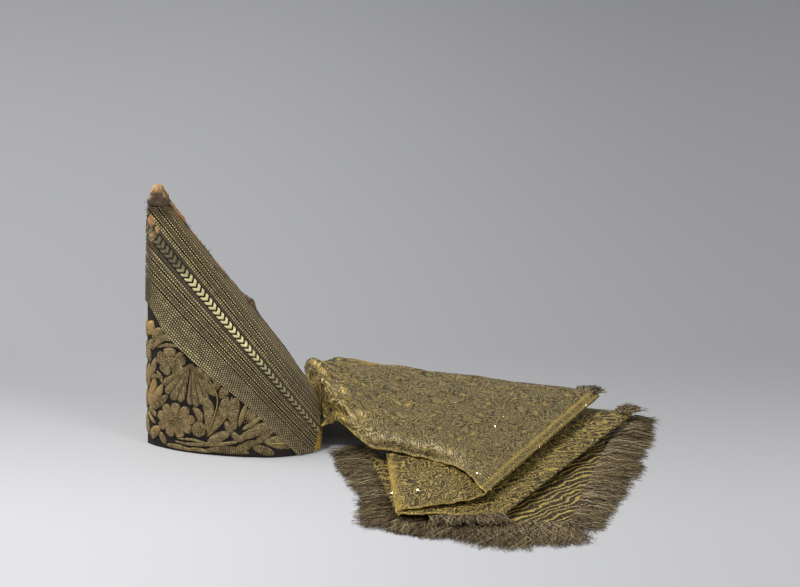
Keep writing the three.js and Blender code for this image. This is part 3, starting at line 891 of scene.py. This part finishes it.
def leaf(motif, places, half, height, widest=0.5, blunt=0.6, ribs=0.0, gleam=0.3, warm=0.0,
         cup=0.0, edge=0.55):
    """A padded petal or leaf sewn along a line of places."""
    length = curve(places, 8)[1]
    count = int(max(11, length / (ribs / 4 if ribs else 2.0)))
    line, length = curve(places, count)
    half = half * LEAF_FULLNESS
    t = np.linspace(0, 1, count)
    heading = np.gradient(line, axis=0)
    heading /= np.linalg.norm(heading, axis=1, keepdims=True) + 1e-9
    sideways = np.stack([heading[:, 1], -heading[:, 0]], 1)
    swell = np.where(t < widest, t / widest, (1 - t) / (1 - widest))
    width = half * np.maximum(np.sin(math.pi / 2 * np.clip(swell, 0, 1)) ** blunt, 0.04)
    ribbing = np.cos(2 * math.pi * t * length / ribs) if ribs else 0 * t
    if ribs:
        width = width * (1 + 0.1 * ribbing)
    across = np.sin(np.linspace(-math.pi / 2, math.pi / 2, 11))
    spot = line[:, None, :] + sideways[:, None, :] * (across[:, None] * width[:, None, None])
    dome = (1 - across**4) ** edge * (1 + cup * (across**2 - 0.4))
    rise = height * PADDING * dome[None, :] * np.minimum(1, width / half + 0.25)[:, None]
    if ribs:
        rise = rise * (0.8 + 0.2 * ribbing)[:, None]
    flat = np.zeros((count, len(across), 3))
    flat[..., 0] = (t * length)[:, None]
    flat[..., 1] = across * half
    # Painted shade along the leaf's edges and at its tip, and between its ribs
    groove = np.clip(1 - (1 - np.abs(across)) * 9, 0, 1)[None, :] * 0.95 + 0 * rise
    groove = np.maximum(groove, (0.9 * smooth(t, 0.975, 1.0))[:, None])
    if ribs:
        groove = np.maximum(groove, 0.55 * (0.5 - 0.5 * ribbing)[:, None] ** 3)
    sew(motif, spot, rise - EMBROIDERY - PAD_SUNK, grid_faces(*flat.shape[:2])[:, ::-1], flat=flat,
        groove=groove, gleam=gleam, warm=warm)


def leaves(motif, *rows):
    """Several leaves of one motif, each with its places, half width, height and other looks."""
    for places, half, height, *looks in rows:
        leaf(motif, places, half, height, **dict(*looks))


def fan(motif, root, rim, flutes):
    """A shell-shaped pad: its flutes spread from the root to a scalloped rim, rear end first."""
    count = FAN_STEPS * flutes + 1
    border = curve(rim, count)[0]
    start = curve([root, rim[0]], 2)[0][0]
    share = np.linspace(0, 1, count)
    flute = np.abs(np.sin(math.pi * flutes * share))
    t = np.linspace(0.03, 1, 18)[:, None]
    reach = t * (1 - 0.07 * (1 - flute) * smooth(t, 0.6, 1.0))
    spot = start + (border - start)[None] * reach[..., None]
    inside = np.minimum(share, 1 - share) * flutes
    side = np.clip(inside * 2.5, 0, 1) ** 0.5
    end = np.clip((1 - t) / 0.1, 0, 1) ** 0.5
    rise = PADDING * end * side * (0.6 + 0.4 * flute**0.7)
    flat = np.zeros((*spot.shape[:2], 3))
    flat[..., :2] = spot
    # Painted shade between the flutes, along the fan's sides and at its rim
    groove = 0.85 * np.clip(1 - flute * 2.4, 0, 1) * smooth(t, 0.1, 0.35)
    groove = np.maximum(groove, 0.95 * np.clip(1 - inside * 9, 0, 1))
    groove = np.maximum(groove, 0.9 * smooth(t, 0.96, 1.0))
    sew(motif, spot, rise - EMBROIDERY - PAD_SUNK, grid_faces(*flat.shape[:2])[:, ::-1], flat=flat,
        groove=groove, gleam=0.3, warm=0.0)


def spots(motif, centre, radius, size, gleam, lift):
    """A grainy disc of small knots, as in a flower's centre."""
    turn, z = centre
    middle = np.array([float(round_from_turn(math.radians(turn), z)), z])
    count = int((radius / size) ** 2 * 1.05)
    golden = math.pi * (3 - math.sqrt(5))
    bands = np.linspace(0, math.pi / 2, 4)
    sides = np.linspace(0, 2 * math.pi, 6, endpoint=False)
    for k in range(count):
        far = radius * math.sqrt((k + 0.5) / count)
        spot = middle + far * np.array([math.cos(k * golden), math.sin(k * golden)])
        ring = size * 0.62 * np.cos(bands)[:, None]
        knot = np.stack([spot[0] + ring * np.cos(sides), spot[1] + ring * np.sin(sides)], -1)
        rise = lift * PADDING + size * 0.6 * np.sin(bands)[:, None] + 0 * knot[..., 0]
        rise[0] = 0
        shade = gleam * (0.5 + 0.5 * ((k * 7) % 5) / 4)
        # Painted shade round the foot of each knot
        groove = np.array([0.6, 0.1, 0, 0])[:, None] + 0 * rise
        sew(motif, knot, rise - EMBROIDERY, grid_faces(4, 6, closed=True),
            flat=np.zeros((*rise.shape, 3)), groove=groove, gleam=shade, warm=0.0)


def flower(motif, centre, radius, turns, petals, first, heart, width=1.0, warm=0.0):
    """Broad petals round a grainy heart. radius is upwards, turns the two turns that it reaches."""
    turn, z = centre
    middle = np.array([float(round_from_turn(math.radians(turn), z)), z])
    reach = np.radians(turns)
    wide = float(np.diff(round_from_turn(reach, np.array([z, z]))).item()) / 2
    for k in range(petals):
        angle = math.radians(first + 360 * k / petals)
        way = np.array([math.sin(angle) * wide, math.cos(angle) * radius])
        inner, outer = middle + way * 0.5 * heart / radius, middle + way
        places = []
        for spot in (inner, outer):
            height = max(spot[1], 0.5)
            places.append((math.degrees(float(turn_from_round(max(spot[0], 0.0), height))), height))
        half = width * math.pi * radius * 0.5 / petals
        leaf(motif, places, half, 0.95, widest=0.68, blunt=0.45, cup=0.5, edge=0.35, warm=warm)
    pad = []
    for way in (-heart, heart):
        pad.append((math.degrees(float(turn_from_round(middle[0] + way, z))), z))
    leaf(motif, pad, heart / LEAF_FULLNESS, 1.05, blunt=0.5)
    spots(motif, centre, heart * 0.92, FLOWER_SPOT, gleam=0.45, lift=1.02)


# Upper flower with a small one at its shoulder, and the scrolls over it
flower("flower_upper", (35.2, 97.5), radius=16.0, turns=(21.5, 47.5), petals=5, first=-5, heart=7.2,
       width=1.1)
spots("flower_upper", (45.0, 106), radius=3.8, size=1.3, gleam=0.5, lift=1.2)
leaves("flower_upper",
       ([(15, 106), (23, 116), (32, 124), (41, 123.5), (48, 116)], 2.9, 0.9),
       ([(22, 110.5), (33, 115.5), (40.5, 116), (46, 114)], 1.6, 0.8, dict(gleam=0.6)))
# Lower flower
flower("flower_lower", (33.5, 33.5), radius=20.0, turns=(20, 46), petals=9, first=0, heart=9.4,
       width=1.15, warm=0.2)
# Two fluted shell fans from one root
SHELL_ROOT = (51, 99)
fan("shell_front", SHELL_ROOT, [(41, 55), (36.5, 51.5), (30.5, 55), (26, 64), (26, 77)], flutes=4)
fan("shell_rear", SHELL_ROOT, [(58.5, 74), (57, 62), (51.5, 51.5), (45, 48.5), (41.5, 54)], flutes=5)
FEATHER_SPINE = [(57, 93), (60, 80), (62.2, 68), (61.2, 58), (57.7, 46), (54, 33), (49.5, 20)]
CRESCENT = [(70.8, 65), (67.4, 54), (62.6, 44), (57.4, 34), (50, 19)]
# Feathered leaf: big lobes on both sides of a bright midrib, and a ribbed crescent outside
leaves("feather_leaf",
       ([(60.8, 64), (57.5, 73), (55.8, 82)], 3.6, 0.9, dict(widest=0.6)),
       ([(51.5, 22), (53.5, 40), (55, 52), (53.5, 64)], 4.6, 0.95, dict(widest=0.66)),
       ([(61.5, 70), (64, 78), (66.4, 86)], 3.6, 0.9, dict(widest=0.6)),
       ([(62.5, 62), (67, 70), (69.8, 76)], 4.2, 0.95, dict(widest=0.6)),
       ([(52.5, 24), (59, 40), (64, 54), (67.5, 66)], 4.6, 0.95, dict(widest=0.66)),
       (FEATHER_SPINE, 0.45, 1.2, dict(gleam=0.85)),
       (CRESCENT, 2.6, 1.0, dict(ribs=2.2, gleam=0.7)))
# Curved leaf above the feather
leaves("long_leaf",
       ([(53, 101), (57.7, 98.5), (61.8, 90), (63.8, 79)], 4.3, 0.95),
       ([(53.2, 95), (57.0, 88), (58.6, 79)], 2.5, 0.9),
       ([(64.8, 89), (66.6, 85), (67.5, 80)], 2.2, 0.85))
# Berry with a leaf over it
leaves("berry", ([(42.6, 27), (50.8, 27)], 6.6, 1.0, dict(blunt=0.5)))
spots("berry", (46.7, 27), radius=6.4, size=1.4, gleam=0.4, lift=1.2)
leaves("berry", ([(45.3, 50), (48.7, 44), (48.2, 33)], 3.2, 0.95))
# Tulip
leaves("tulip",
       ([(66, 29), (66.8, 44), (70, 55), (74.5, 65)], 4.8, 0.95, dict(widest=0.6)),
       ([(75, 39), (80, 48), (85, 53)], 5.4, 0.9, dict(widest=0.5)),
       ([(66.3, 19.5), (74, 26), (82.5, 31.5), (96, 36.5)], 4.8, 0.95, dict(widest=0.55)),
       ([(68.4, 32), (72.5, 44), (79, 58)], 2.4, 1.15, dict(gleam=0.65)),
       ([(69.5, 29), (77.5, 37), (90.5, 45)], 2.4, 1.15, dict(gleam=0.65)))
spots("tulip", (74.6, 40.5), radius=4.2, size=1.3, gleam=0.5, lift=1.15)
leaves("tulip",
       ([(64.8, 25), (62.4, 32), (62.0, 39)], 3.0, 0.9),
       ([(63.8, 28), (65.2, 20), (69.5, 18.5)], 2.8, 0.95))
# Stem and low leaves
leaves("leaf_low",
       ([(24.5, 4.5), (32, 5), (41, 3.5)], 2.0, 0.85),
       ([(36, 2.5), (44, 5), (51, 3)], 1.8, 0.85),
       ([(31, 10.5), (39, 9), (45, 10.5), (57, 13), (64, 16), (70, 19)], 1.9, 0.9),
       ([(33, 13.5), (41, 15), (50, 13)], 1.2, 0.9, dict(gleam=0.6)),
       ([(49.5, 13), (55.5, 19.5), (63.5, 26.5)], 4.2, 0.95),
       ([(48, 5.5), (57, 7.5), (63, 7), (70, 5)], 3.2, 0.9, dict(ribs=2.2)),
       ([(62, 6), (68.4, 11.5), (76, 18)], 3.6, 0.95, dict(ribs=2.2)),
       ([(72, 12), (77.5, 8.5), (85.5, 4)], 3.6, 0.95, dict(ribs=3.0)))
leaves("leaf_rear",
       ([(73.6, 14), (82.5, 23), (96.5, 33)], 3.6, 1.0, dict(ribs=2.2, gleam=0.45)),
       ([(80.5, 17), (91.5, 17), (104, 11)], 5.2, 0.95),
       ([(83.5, 15.5), (98, 14.3)], 0.5, 1.2, dict(gleam=1.0)),
       ([(92, 24.5), (96.8, 27.5), (101.5, 25)], 2.0, 0.8),
       ([(98, 22.5), (104, 15)], 2.0, 0.8))
# Front edge: bud petals, ribbed leaf and small leaves
leaves("front_leaf",
       ([(9.5, 43), (14.2, 60), (19, 77)], 4.0, 1.0, dict(warm=0.8)),
       ([(11, 44), (20.2, 57), (26, 71)], 3.6, 1.0, dict(warm=0.6)),
       ([(9, 39), (21, 49), (30, 60)], 3.6, 1.0, dict(ribs=2.4, gleam=0.5)),
       ([(6.5, 39.5), (12, 40), (19.2, 33.5)], 2.6, 0.9),
       ([(6.5, 37), (11.5, 31), (17.5, 25)], 1.6, 0.9, dict(gleam=0.7)),
       ([(13, 7), (14.5, 15), (22, 22.5)], 4.2, 0.95, dict(warm=0.4)),
       ([(21.5, 18), (25.5, 4.5)], 2.8, 0.95),
       ([(20.4, 99), (16, 86), (13.2, 74)], 3.2, 0.95, dict(gleam=0.5)),
       ([(20, 85), (24.8, 80), (26.8, 70)], 1.8, 0.9),
       ([(14, 72), (18.5, 80), (25, 77)], 1.6, 0.9),
       ([(3, 91), (2.5, 78), (4, 64)], 2.8, 0.85),
       ([(9.5, 91), (8.5, 77), (8.2, 64)], 2.4, 0.85, dict(warm=0.4)),
       ([(3.2, 62), (5, 50), (3, 38)], 2.6, 0.85),
       ([(2, 36), (4, 24), (8.5, 9)], 3.0, 0.85))
# Bud and leaves at the top of the panel
leaves("bud",
       ([(9.5, 122), (13.5, 131), (19.5, 139)], 4.8, 1.0, dict(warm=1.0)),
       ([(18, 117.5), (24.5, 126), (32.5, 132)], 4.8, 0.95),
       ([(9.5, 106), (13.5, 112), (18, 119)], 3.2, 0.9),
       ([(6, 113), (9.5, 103), (11.8, 92)], 2.8, 0.85),
       ([(2, 117), (3, 105), (4, 93)], 2.8, 0.85, dict(gleam=0.4)),
       ([(4, 140), (3, 129), (3, 118)], 2.8, 0.85, dict(warm=0.5)))

for motif, pile in embroidery.items():
    for side, one in (("_near", pile), ("_far", pile.mirrored())):
        one.build("sewn_" + motif + side, padded_gold, [motif + side])


# Loose strands
LOWEST_STRAND = 0.35
SWAY_TURN = 6.28


def strands(pile, start, end, radius, wave, arch, gleam, segments):
    """Thin tapering threads from start to end points, each with its own bend."""
    count = len(start)
    t = np.linspace(0, 1, segments + 1)[None, :, None]
    reach = end - start
    length = np.linalg.norm(reach, axis=1, keepdims=True)[:, None, :]
    line = start[:, None, :] + reach[:, None, :] * t
    ahead = reach / (np.linalg.norm(reach, axis=1, keepdims=True) + 1e-9)
    side = np.cross(ahead, (0, 0, 1.0))
    side /= np.linalg.norm(side, axis=1, keepdims=True) + 1e-9
    up = np.cross(side, ahead)
    cycles = rng.uniform(0.4, 1.6, (count, 1, 1))
    first = rng.uniform(0, SWAY_TURN, (count, 1, 1))
    sway = wave * length / 20 * (np.sin(t * cycles * SWAY_TURN + first) - np.sin(first))
    hop = arch * rng.uniform(0.2, 1.0, (count, 1, 1)) * np.sin(math.pi * t)
    line = line + side[:, None, :] * sway + up[:, None, :] * hop
    line[..., 2] = np.maximum(line[..., 2], LOWEST_STRAND)
    size = radius * (1 - 0.5 * t) * rng.uniform(0.7, 1.3, (count, 1, 1))
    ring = []
    for k in range(3):
        a = 2 * math.pi * k / 3 + 0.5
        ring.append(line + side[:, None, :] * size * math.cos(a) + up[:, None, :] * size * math.sin(a))
    points = np.stack(ring, 2)
    one = grid_faces(segments + 1, 3, closed=True)
    faces = (one[None] + np.arange(count)[:, None, None] * (segments + 1) * 3).reshape(-1, 4)
    shade = np.broadcast_to(np.asarray(gleam)[:, None, None], points.shape[:3])
    pile.add(points, faces, gleam=shade)


# Veil: lines of the cloth from side to side, in the order of the cloth. Each says its far and near
# ends, its crest between them, its wrinkles, and how much of the reverse and the stripes shows
VEIL_LINES = [
    ((78, 56, 12), (78, -50, 20), 13, 1.0, 0.4, 0),
    ((92.5, 66, 18), (92.5, -54, 24), 14.5, 2.0, 0.4, 0),
    ((96, 92, 46), (101, -70, 34), 18, 3.8, 0.45, 0),
    ((112, 97, 45), (110, -108, 29), 16, 3.6, 0.3, 0),
    ((150, 86, 47), (126, -146, 32), 9, 2.2, 0.15, 0),
    ((205, 54, 43), (147, -164, 34), 6, 2.2, 0.0, 0),
    ((275, 24, 38), (172, -190, 34), 5, 2.0, 0.0, 0),
    ((345, -6, 33), (194, -224, 32), 3, 1.6, 0.0, 0),
    ((398, -34, 28.5), (205, -280, 24), 0, 0.9, 0.0, 0),
    ((404, -38, 25.5), (209, -284, 21.5), 0, 0.5, 0.3, 0),
    ((398, -36, 22.5), (205, -283, 19), 0, 0.6, 0.7, 0),
    ((330, 0, 21), (180, -290, 17.5), 1, 1.4, 0.7, 0),
    ((240, 14, 20), (150, -293, 17), 1.5, 2.0, 0.6, 0),
    ((168, 6, 19), (118, -292, 16.5), 1, 1.6, 0.6, 0),
    ((160, 2, 17), (107, -298, 14.8), 0, 0.4, 0.7, 0),
    ((168, 2, 15), (116, -300, 13), 0, 0.5, 1.0, 0.3),
    ((250, -2, 14.5), (150, -306, 12.5), 0, 0.8, 1.0, 0.3),
    ((350, -22, 14), (184, -312, 12), 0, 0.8, 1.0, 0.3),
    ((425, -62, 13), (212, -315, 11), 0, 0.5, 1.0, 0.3),
    ((433, -66, 11), (217, -318, 9.4), 0, 0.3, 1.0, 0.5),
    ((425, -64, 9), (211, -316, 7.8), 0, 0.4, 1.0, 0.5),
    ((330, -30, 8.4), (180, -306, 7.4), 0, 0.5, 1.0, 0.5),
    ((220, -30, 7.8), (144, -294, 7.2), 0, 0.5, 1.0, 0.5),
    ((134, -60, 7.2), (122, -284, 6.8), 0, 0.3, 1.0, 0.6),
    ((126, -62, 5.1), (114, -285, 4.8), 0, 0.2, 1.0, 0.6),
    ((134, -64, 3.0), (120, -286, 2.9), 0, 0.3, 1.0, 0.4),
    ((220, -50, 2.2), (160, -307, 2.2), 0, 0.5, 1.0, 1.0),
    ((330, -44, 1.6), (222, -331, 1.6), 0, 0.4, 1.0, 1.0),
    ((430, -56, 0.8), (281, -345, 0.8), 0, 0.2, 1.0, 1.0),
]
RIGHT_FOLD = 9
LEFT_FOLD = 14
CLOTH_HALF = 0.45
VEIL_STEP = 3.0
VEIL_COLUMNS = 64
# The near edge of the top layer rolls down and curls in over these last shares of the width
ROLL_DROP, ROLL_FROM = 13.0, 0.82
CURL_IN, CURL_FROM = 14.0, 0.88
# Distances of the yellow lines from the right fold, and the widths of a line and of the selvedge
HEM_LINES = (3.5, 8.0, 12.5)
HEM_LINE_WIDTH = 0.9
SELVEDGE_WIDTH = 1.6


def veil_grid():
    """Middle surface of the smooth veil, shares across it, and distances along it."""
    share = np.linspace(0, 1, VEIL_COLUMNS)
    far, near, crest = (np.array(values, float) for values in list(zip(*VEIL_LINES))[:3])
    lines = far[:, None] + (near - far)[:, None] * share[:, None]
    lines[..., 2] += crest[:, None] * (1 - (2 * share - 1) ** 2)
    gaps = np.linalg.norm(np.diff(lines, axis=0), axis=2).mean(1)
    run = np.concatenate([[0], np.cumsum(gaps)])
    even = np.arange(0, run[-1], VEIL_STEP)
    even = np.append(even, run[-1])
    grid = np.empty((len(even), VEIL_COLUMNS, 3))
    for c in range(VEIL_COLUMNS):
        for k in range(3):
            grid[:, c, k] = np.interp(even, run, lines[:, c, k])
    for _ in range(3):
        grid[1:-1] = 0.5 * grid[1:-1] + 0.25 * (grid[:-2] + grid[2:])
    return grid, share, even, run


def normals_of(grid):
    """Unit normals at the points of a grid."""
    along = np.gradient(grid, axis=0)
    across = np.gradient(grid, axis=1)
    normal = np.cross(across, along)
    return normal / (np.linalg.norm(normal, axis=2, keepdims=True) + 1e-9)


grid, share, even, run = veil_grid()
width = np.linalg.norm(grid[:, -1] - grid[:, 0], axis=1)
u = (share[None, :] - 0.5) * width[:, None]
v = even[:, None] + 0 * u
wrinkle, reverse, striped = (np.interp(even, run, values)[:, None] + 0 * u
                             for values in list(zip(*VEIL_LINES))[3:])
waves = noise(u / 26 + v / 60, v / 34 - u / 90, 31) + 0.5 * noise(u / 11, v / 13, 32)
neck = 1 - smooth(v, run[3], run[4])
waves = waves + neck * 1.1 * noise(u / 8 + 4, v / 18, 33)
top_layer = v < run[RIGHT_FOLD]
grid = grid + normals_of(grid) * (waves * wrinkle)[..., None]
edge_wave = noise(v / 16 + 7, 0 * v, 34) * 2.2 + noise(v / 6, 0 * v + 3, 35) * 0.7
side = smooth(share, 0.8, 1.0)[None, :] - smooth(1 - share, 0.8, 1.0)[None, :]
across_way = (grid[:, -1:] - grid[:, :1]) / width[:, None, None]
grid = grid + across_way * (edge_wave * side)[..., None]
roll = np.where(top_layer, 1, 0) * smooth(v, run[3], run[4]) * (1 - smooth(v, run[6], run[8] + 12))
grid[..., 2] -= roll * ROLL_DROP * smooth(share, ROLL_FROM, 1.0)[None, :] ** 2
curl = roll * CURL_IN * smooth(share, CURL_FROM, 1.0)[None, :] ** 2
grid = grid - across_way * curl[..., None]
grid[..., 2] = np.maximum(grid[..., 2], CLOTH_HALF + 0.1)
up = normals_of(grid)
# Plain yellow cloth: near the left fold, in patches of the neck, and along the edges
near_part = smooth(share, 0.5, 0.62)[None, :]
plain = np.exp(-((v - run[LEFT_FOLD] + 5) / 6.5) ** 2) * near_part
plain = plain * (0.75 + 0.25 * noise(u / 5, v / 6, 37))
plain = np.maximum(plain, neck * smooth(noise(u / 9, v / 8, 36), 0.2, 0.6) * 0.5)
far_edge = 1 - smooth(share, 0.0, 0.05)[None, :]
plain = np.maximum(plain, far_edge * np.exp(-((v - run[4] - 20) / 22) ** 2) * 0.9)
for distance in HEM_LINES:
    line = np.exp(-((v - run[RIGHT_FOLD] + distance) / HEM_LINE_WIDTH) ** 2)
    plain = np.maximum(plain, 0.8 * line)
selvedge = np.exp(-((1 - share[None, :]) * width[:, None] / SELVEDGE_WIDTH) ** 2)
plain = np.maximum(plain, 0.6 * selvedge + 0 * u)
veil_pile = Pile()
veil_pile.add_wall(grid + up * CLOTH_HALF, grid - up * CLOTH_HALF, flat=np.stack([u, v, 0 * u], -1),
                   reverse=reverse, striped=striped, plain=plain)
veil = veil_pile.build("veil_cloth", veil_gold, ["veil"])

# Patches of sequins on the veil: line and share across of the middle, scatter along in mm and
# across as a share, and how many
SEQUIN_RADIUS = 0.95
SEQUIN_LIFT = 0.75
SEQUINS = [
    (3.2, 0.45, 12, 0.22, 26),
    (4.4, 0.18, 30, 0.14, 26),
    (6.5, 0.5, 95, 0.3, 44),
    (5.5, 0.9, 45, 0.07, 26),
    (7.7, 0.93, 26, 0.06, 44),
    (8.3, 0.6, 8, 0.3, 26),
    (12.9, 0.88, 16, 0.07, 60),
    (17.5, 0.75, 40, 0.15, 24),
    (27.5, 0.8, 40, 0.12, 34),
]


def sequins():
    """Tilted six-sided discs strewn over the veil."""
    pile = Pile()
    corners = np.linspace(0, 2 * math.pi, 6, endpoint=False)
    for middle_line, middle_share, along, across, count in SEQUINS:
        middle = np.interp(middle_line, range(len(run)), run)
        rows = rng.normal(middle, along / 2, count)
        columns = rng.normal(middle_share, across / 2, count)
        for row, place in zip(rows, columns):
            r = int(np.clip(np.searchsorted(even, row), 1, len(even) - 2))
            c = int(np.clip(place * (VEIL_COLUMNS - 1), 1, VEIL_COLUMNS - 2))
            normal = up[r, c] * (1 if up[r, c, 2] > 0 else -1)
            lean = normal + rng.normal(0, 0.32, 3)
            lean /= np.linalg.norm(lean)
            one = np.cross(lean, (0.3, 1, 0.2))
            one /= np.linalg.norm(one)
            two = np.cross(lean, one)
            centre = grid[r, c] + normal * (CLOTH_HALF + SEQUIN_LIFT)
            rim = np.outer(np.cos(corners), one) + np.outer(np.sin(corners), two)
            disc = [centre + rim * SEQUIN_RADIUS, centre + rim * SEQUIN_RADIUS - lean * 0.25]
            index = np.arange(6)
            walls = np.stack([index, index + 6, (index + 1) % 6 + 6, (index + 1) % 6], -1)
            pile.add(np.concatenate(disc), walls)
            pile.add(disc[0], [[0, 1, 2, 3], [0, 3, 4, 5]])
            pile.add(disc[1], [[3, 2, 1, 0], [5, 4, 3, 0]])
    return pile.build("sequins", sequin_gold, [], slot="veil_gold")


sequin_piece = sequins()

STRAND_RADIUS = 0.42
CLUMP = 7
# A fringe that starts lower than this lies on the floor
FLOOR_FRINGE = 5
# Fringes: inner and outer edge seen from above, height where they start, strands per millimetre
FRINGES = [
    dict(node="fringe_left", inner=[(121, -78), (118.5, -140), (116, -190), (113.5, -240), (111, -286)],
         outer=[(88, -78), (86, -138), (90, -190), (84, -244), (74, -300)], z=2.0, dense=7.0),
    dict(node="fringe_front", inner=[(114, -290), (158, -310), (221, -334.5), (279, -348.5)],
         outer=[(92, -306), (136, -342), (196, -384), (284, -394)], z=2.0, dense=8.0),
    dict(node="fringe_right", inner=[(283.5, -346), (320, -273), (357, -201), (394, -129), (431.6, -56)],
         outer=[(305, -362), (350, -288), (394, -208), (430, -136), (460, -64)], z=2.0, dense=7.0),
    dict(node="fringe_middle", inner=[(146, -308), (184, -314.5), (211, -318.5)],
         outer=[(142, -322), (182, -332), (218, -338)], z=9.6, dense=6.0),
    dict(node="tuft_middle", inner=[(418, -58), (430, -62)],
         outer=[(430, -32), (452, -46)], z=12.4, dense=8.0),
    dict(node="tuft_top", inner=[(384, -24), (401, -33)],
         outer=[(392, -4), (416, -18)], z=27.5, dense=8.0),
]


def along_line(corners, place):
    """Points at shares of the way through a list of corners."""
    corners = np.array(corners, float)
    shares = np.linspace(0, 1, len(corners))
    return np.stack([np.interp(place, shares, corners[:, k]) for k in (0, 1)], -1)


def fringe(row):
    """Strands from the inner to the outer edge that gather in clumps."""
    inner_length, outer_length = distances(row["inner"])[-1], distances(row["outer"])[-1]
    count = int(max(inner_length, outer_length) * row["dense"])
    place = rng.uniform(0, 1, count)
    clumps = max(4, int(outer_length / CLUMP))
    clump = np.clip(np.round(place * clumps + rng.normal(0, 0.25, count)), 0, clumps)
    reach_of = rng.uniform(0.78, 1.06, clumps + 1)
    turn_of = rng.normal(0, 0.35, clumps + 1)
    target = (clump + turn_of[clump.astype(int)]) / clumps * 0.75 + place * 0.25
    start = along_line(row["inner"], place)
    tip = along_line(row["outer"], np.clip(target, 0, 1))
    reach = reach_of[clump.astype(int)] * rng.uniform(0.7, 1.04, count)
    end = start + (tip - start) * reach[:, None] + rng.normal(0, 1.3, (count, 2))
    start = start - (tip - start) * 0.3
    high = row["z"] > FLOOR_FRINGE
    start_z = row["z"] + rng.uniform(-0.8, 2.2, count)
    end_z = row["z"] + rng.uniform(-3, 1.5, count) if high else rng.uniform(0.4, 3.4, count)
    pile = Pile()
    strands(pile, np.column_stack([start, start_z]), np.column_stack([end, end_z]), STRAND_RADIUS,
            wave=2.6, arch=3.2, gleam=rng.uniform(0, 1, count) ** 1.3, segments=4)
    return pile.build("strands_" + row["node"], fringe_brown, [row["node"]])


fringe_pieces = [fringe(row) for row in FRINGES]

# Frayed threads at the rear seam, below the tip cap and at the lower rear corner: height and its
# scatter, turn, how many and how long
FRAYS = [
    (264, 3, 120, 50, 3.0),
    (240, 2, 180, 20, 2.5),
    (216, 4, 180, 30, 2.2),
    (262, 8, 18, 110, 2.6),
    (150, 12, 180, 20, 1.8),
    (9, 4, 118, 60, 5.0),
]


def frays():
    """Short threads that stand out of the silk and the rim."""
    pile = Pile()
    for middle, spread, place, count, length in FRAYS:
        z = np.clip(rng.normal(middle, spread, count), 1, 270)
        turn = np.radians(rng.normal(place, 9, count))
        start = outline(turn, z, -1.0 + 0 * z)
        out = outline(turn, z, 1.0 + 0 * z) - start
        wander = rng.normal(0, 0.7, (count, 3)) + (0, 0, -0.4)
        end = start + (out * 0.5 + wander) * length * rng.uniform(0.4, 0.9, (count, 1))
        strands(pile, start, end, radius=0.22, wave=1.0, arch=0.4,
                gleam=rng.uniform(0, 0.35, count), segments=3)
    pile.build("frayed_threads", fringe_brown, [])


frays()

# Floor with painted light, darker towards the back and lighter near the camera and at the left
FLOOR_SIZE = 9.0


def floor():
    """The plain floor, with painted light: lighter near the camera and at its left."""
    s = Shading("floor_painted_light")
    here = s.node("NewGeometry").outputs["Position"]
    ahead = (math.sin(math.radians(CAMERA_HEADING)), math.cos(math.radians(CAMERA_HEADING)), 0)
    deep = s.vector_math("DOT_PRODUCT", here, ahead)
    right = s.vector_math("DOT_PRODUCT", here, (ahead[1], -ahead[0], 0))
    # Painted light and shade in the floor's colour: lighter near the camera and at the left, darker
    # towards the back
    near_painted_light = s.mix(s.step(right, -0.35, 0.35), tone(200, 200, 202), tone(178, 178, 179))
    back_painted_shade = s.mix(s.step(right, -0.4, 0.5), tone(154, 154, 156), tone(140, 140, 141))
    colour = s.mix(s.step(deep, -0.2, 0.42), near_painted_light, back_painted_shade)
    grain = s.noise(here, 0.02, 2)
    material = s.finish(colour, s.bump(grain, 0.02), rough=0.9, metal=0.0)
    mesh = bpy.data.meshes.new("floor")
    half = FLOOR_SIZE / 2
    corners = [(-half, -half, 0), (half, -half, 0), (half, half, 0), (-half, half, 0)]
    mesh.from_pydata(corners, [], [(0, 1, 2, 3)])
    mesh.materials.append(material)
    place_in_scene("floor", mesh)


floor()


# Light: a wide soft light over the left shoulder, a weaker one at the right and a pale room
def area_light(name, place, power, size):
    """A disc of light that points at the middle of the scene."""
    data = bpy.data.lights.new(name, "AREA")
    data.energy = power
    data.shape = "DISK"
    data.size = size
    lamp = place_in_scene(name, data)
    lamp.location = place
    lamp.rotation_euler = (-Vector(place)).to_track_quat("-Z", "Y").to_euler()


area_light("key", (-2.6, 0.9, 4.2), power=255, size=2.2)
area_light("side", (2.4, -3.4, 2.6), power=66, size=2.0)
world = bpy.data.worlds.new("room")
world.use_nodes = True
world.node_tree.nodes["Background"].inputs["Color"].default_value = tone(205, 207, 210)
world.node_tree.nodes["Background"].inputs["Strength"].default_value = 0.53
bpy.context.scene.world = world
bpy.context.scene.view_settings.view_transform = "Standard"

# Camera
camera_data = bpy.data.cameras.new("camera")
camera_data.lens = LENS
camera_data.sensor_width = SENSOR
camera_data.clip_end = 50
camera = place_in_scene("camera", camera_data)
camera.location = ((np.array(CAMERA_PLACE) + SHIFT) * MM).tolist()
camera.rotation_euler = (math.radians(90 - CAMERA_DOWN), 0, -math.radians(CAMERA_HEADING))
bpy.context.scene.camera = camera
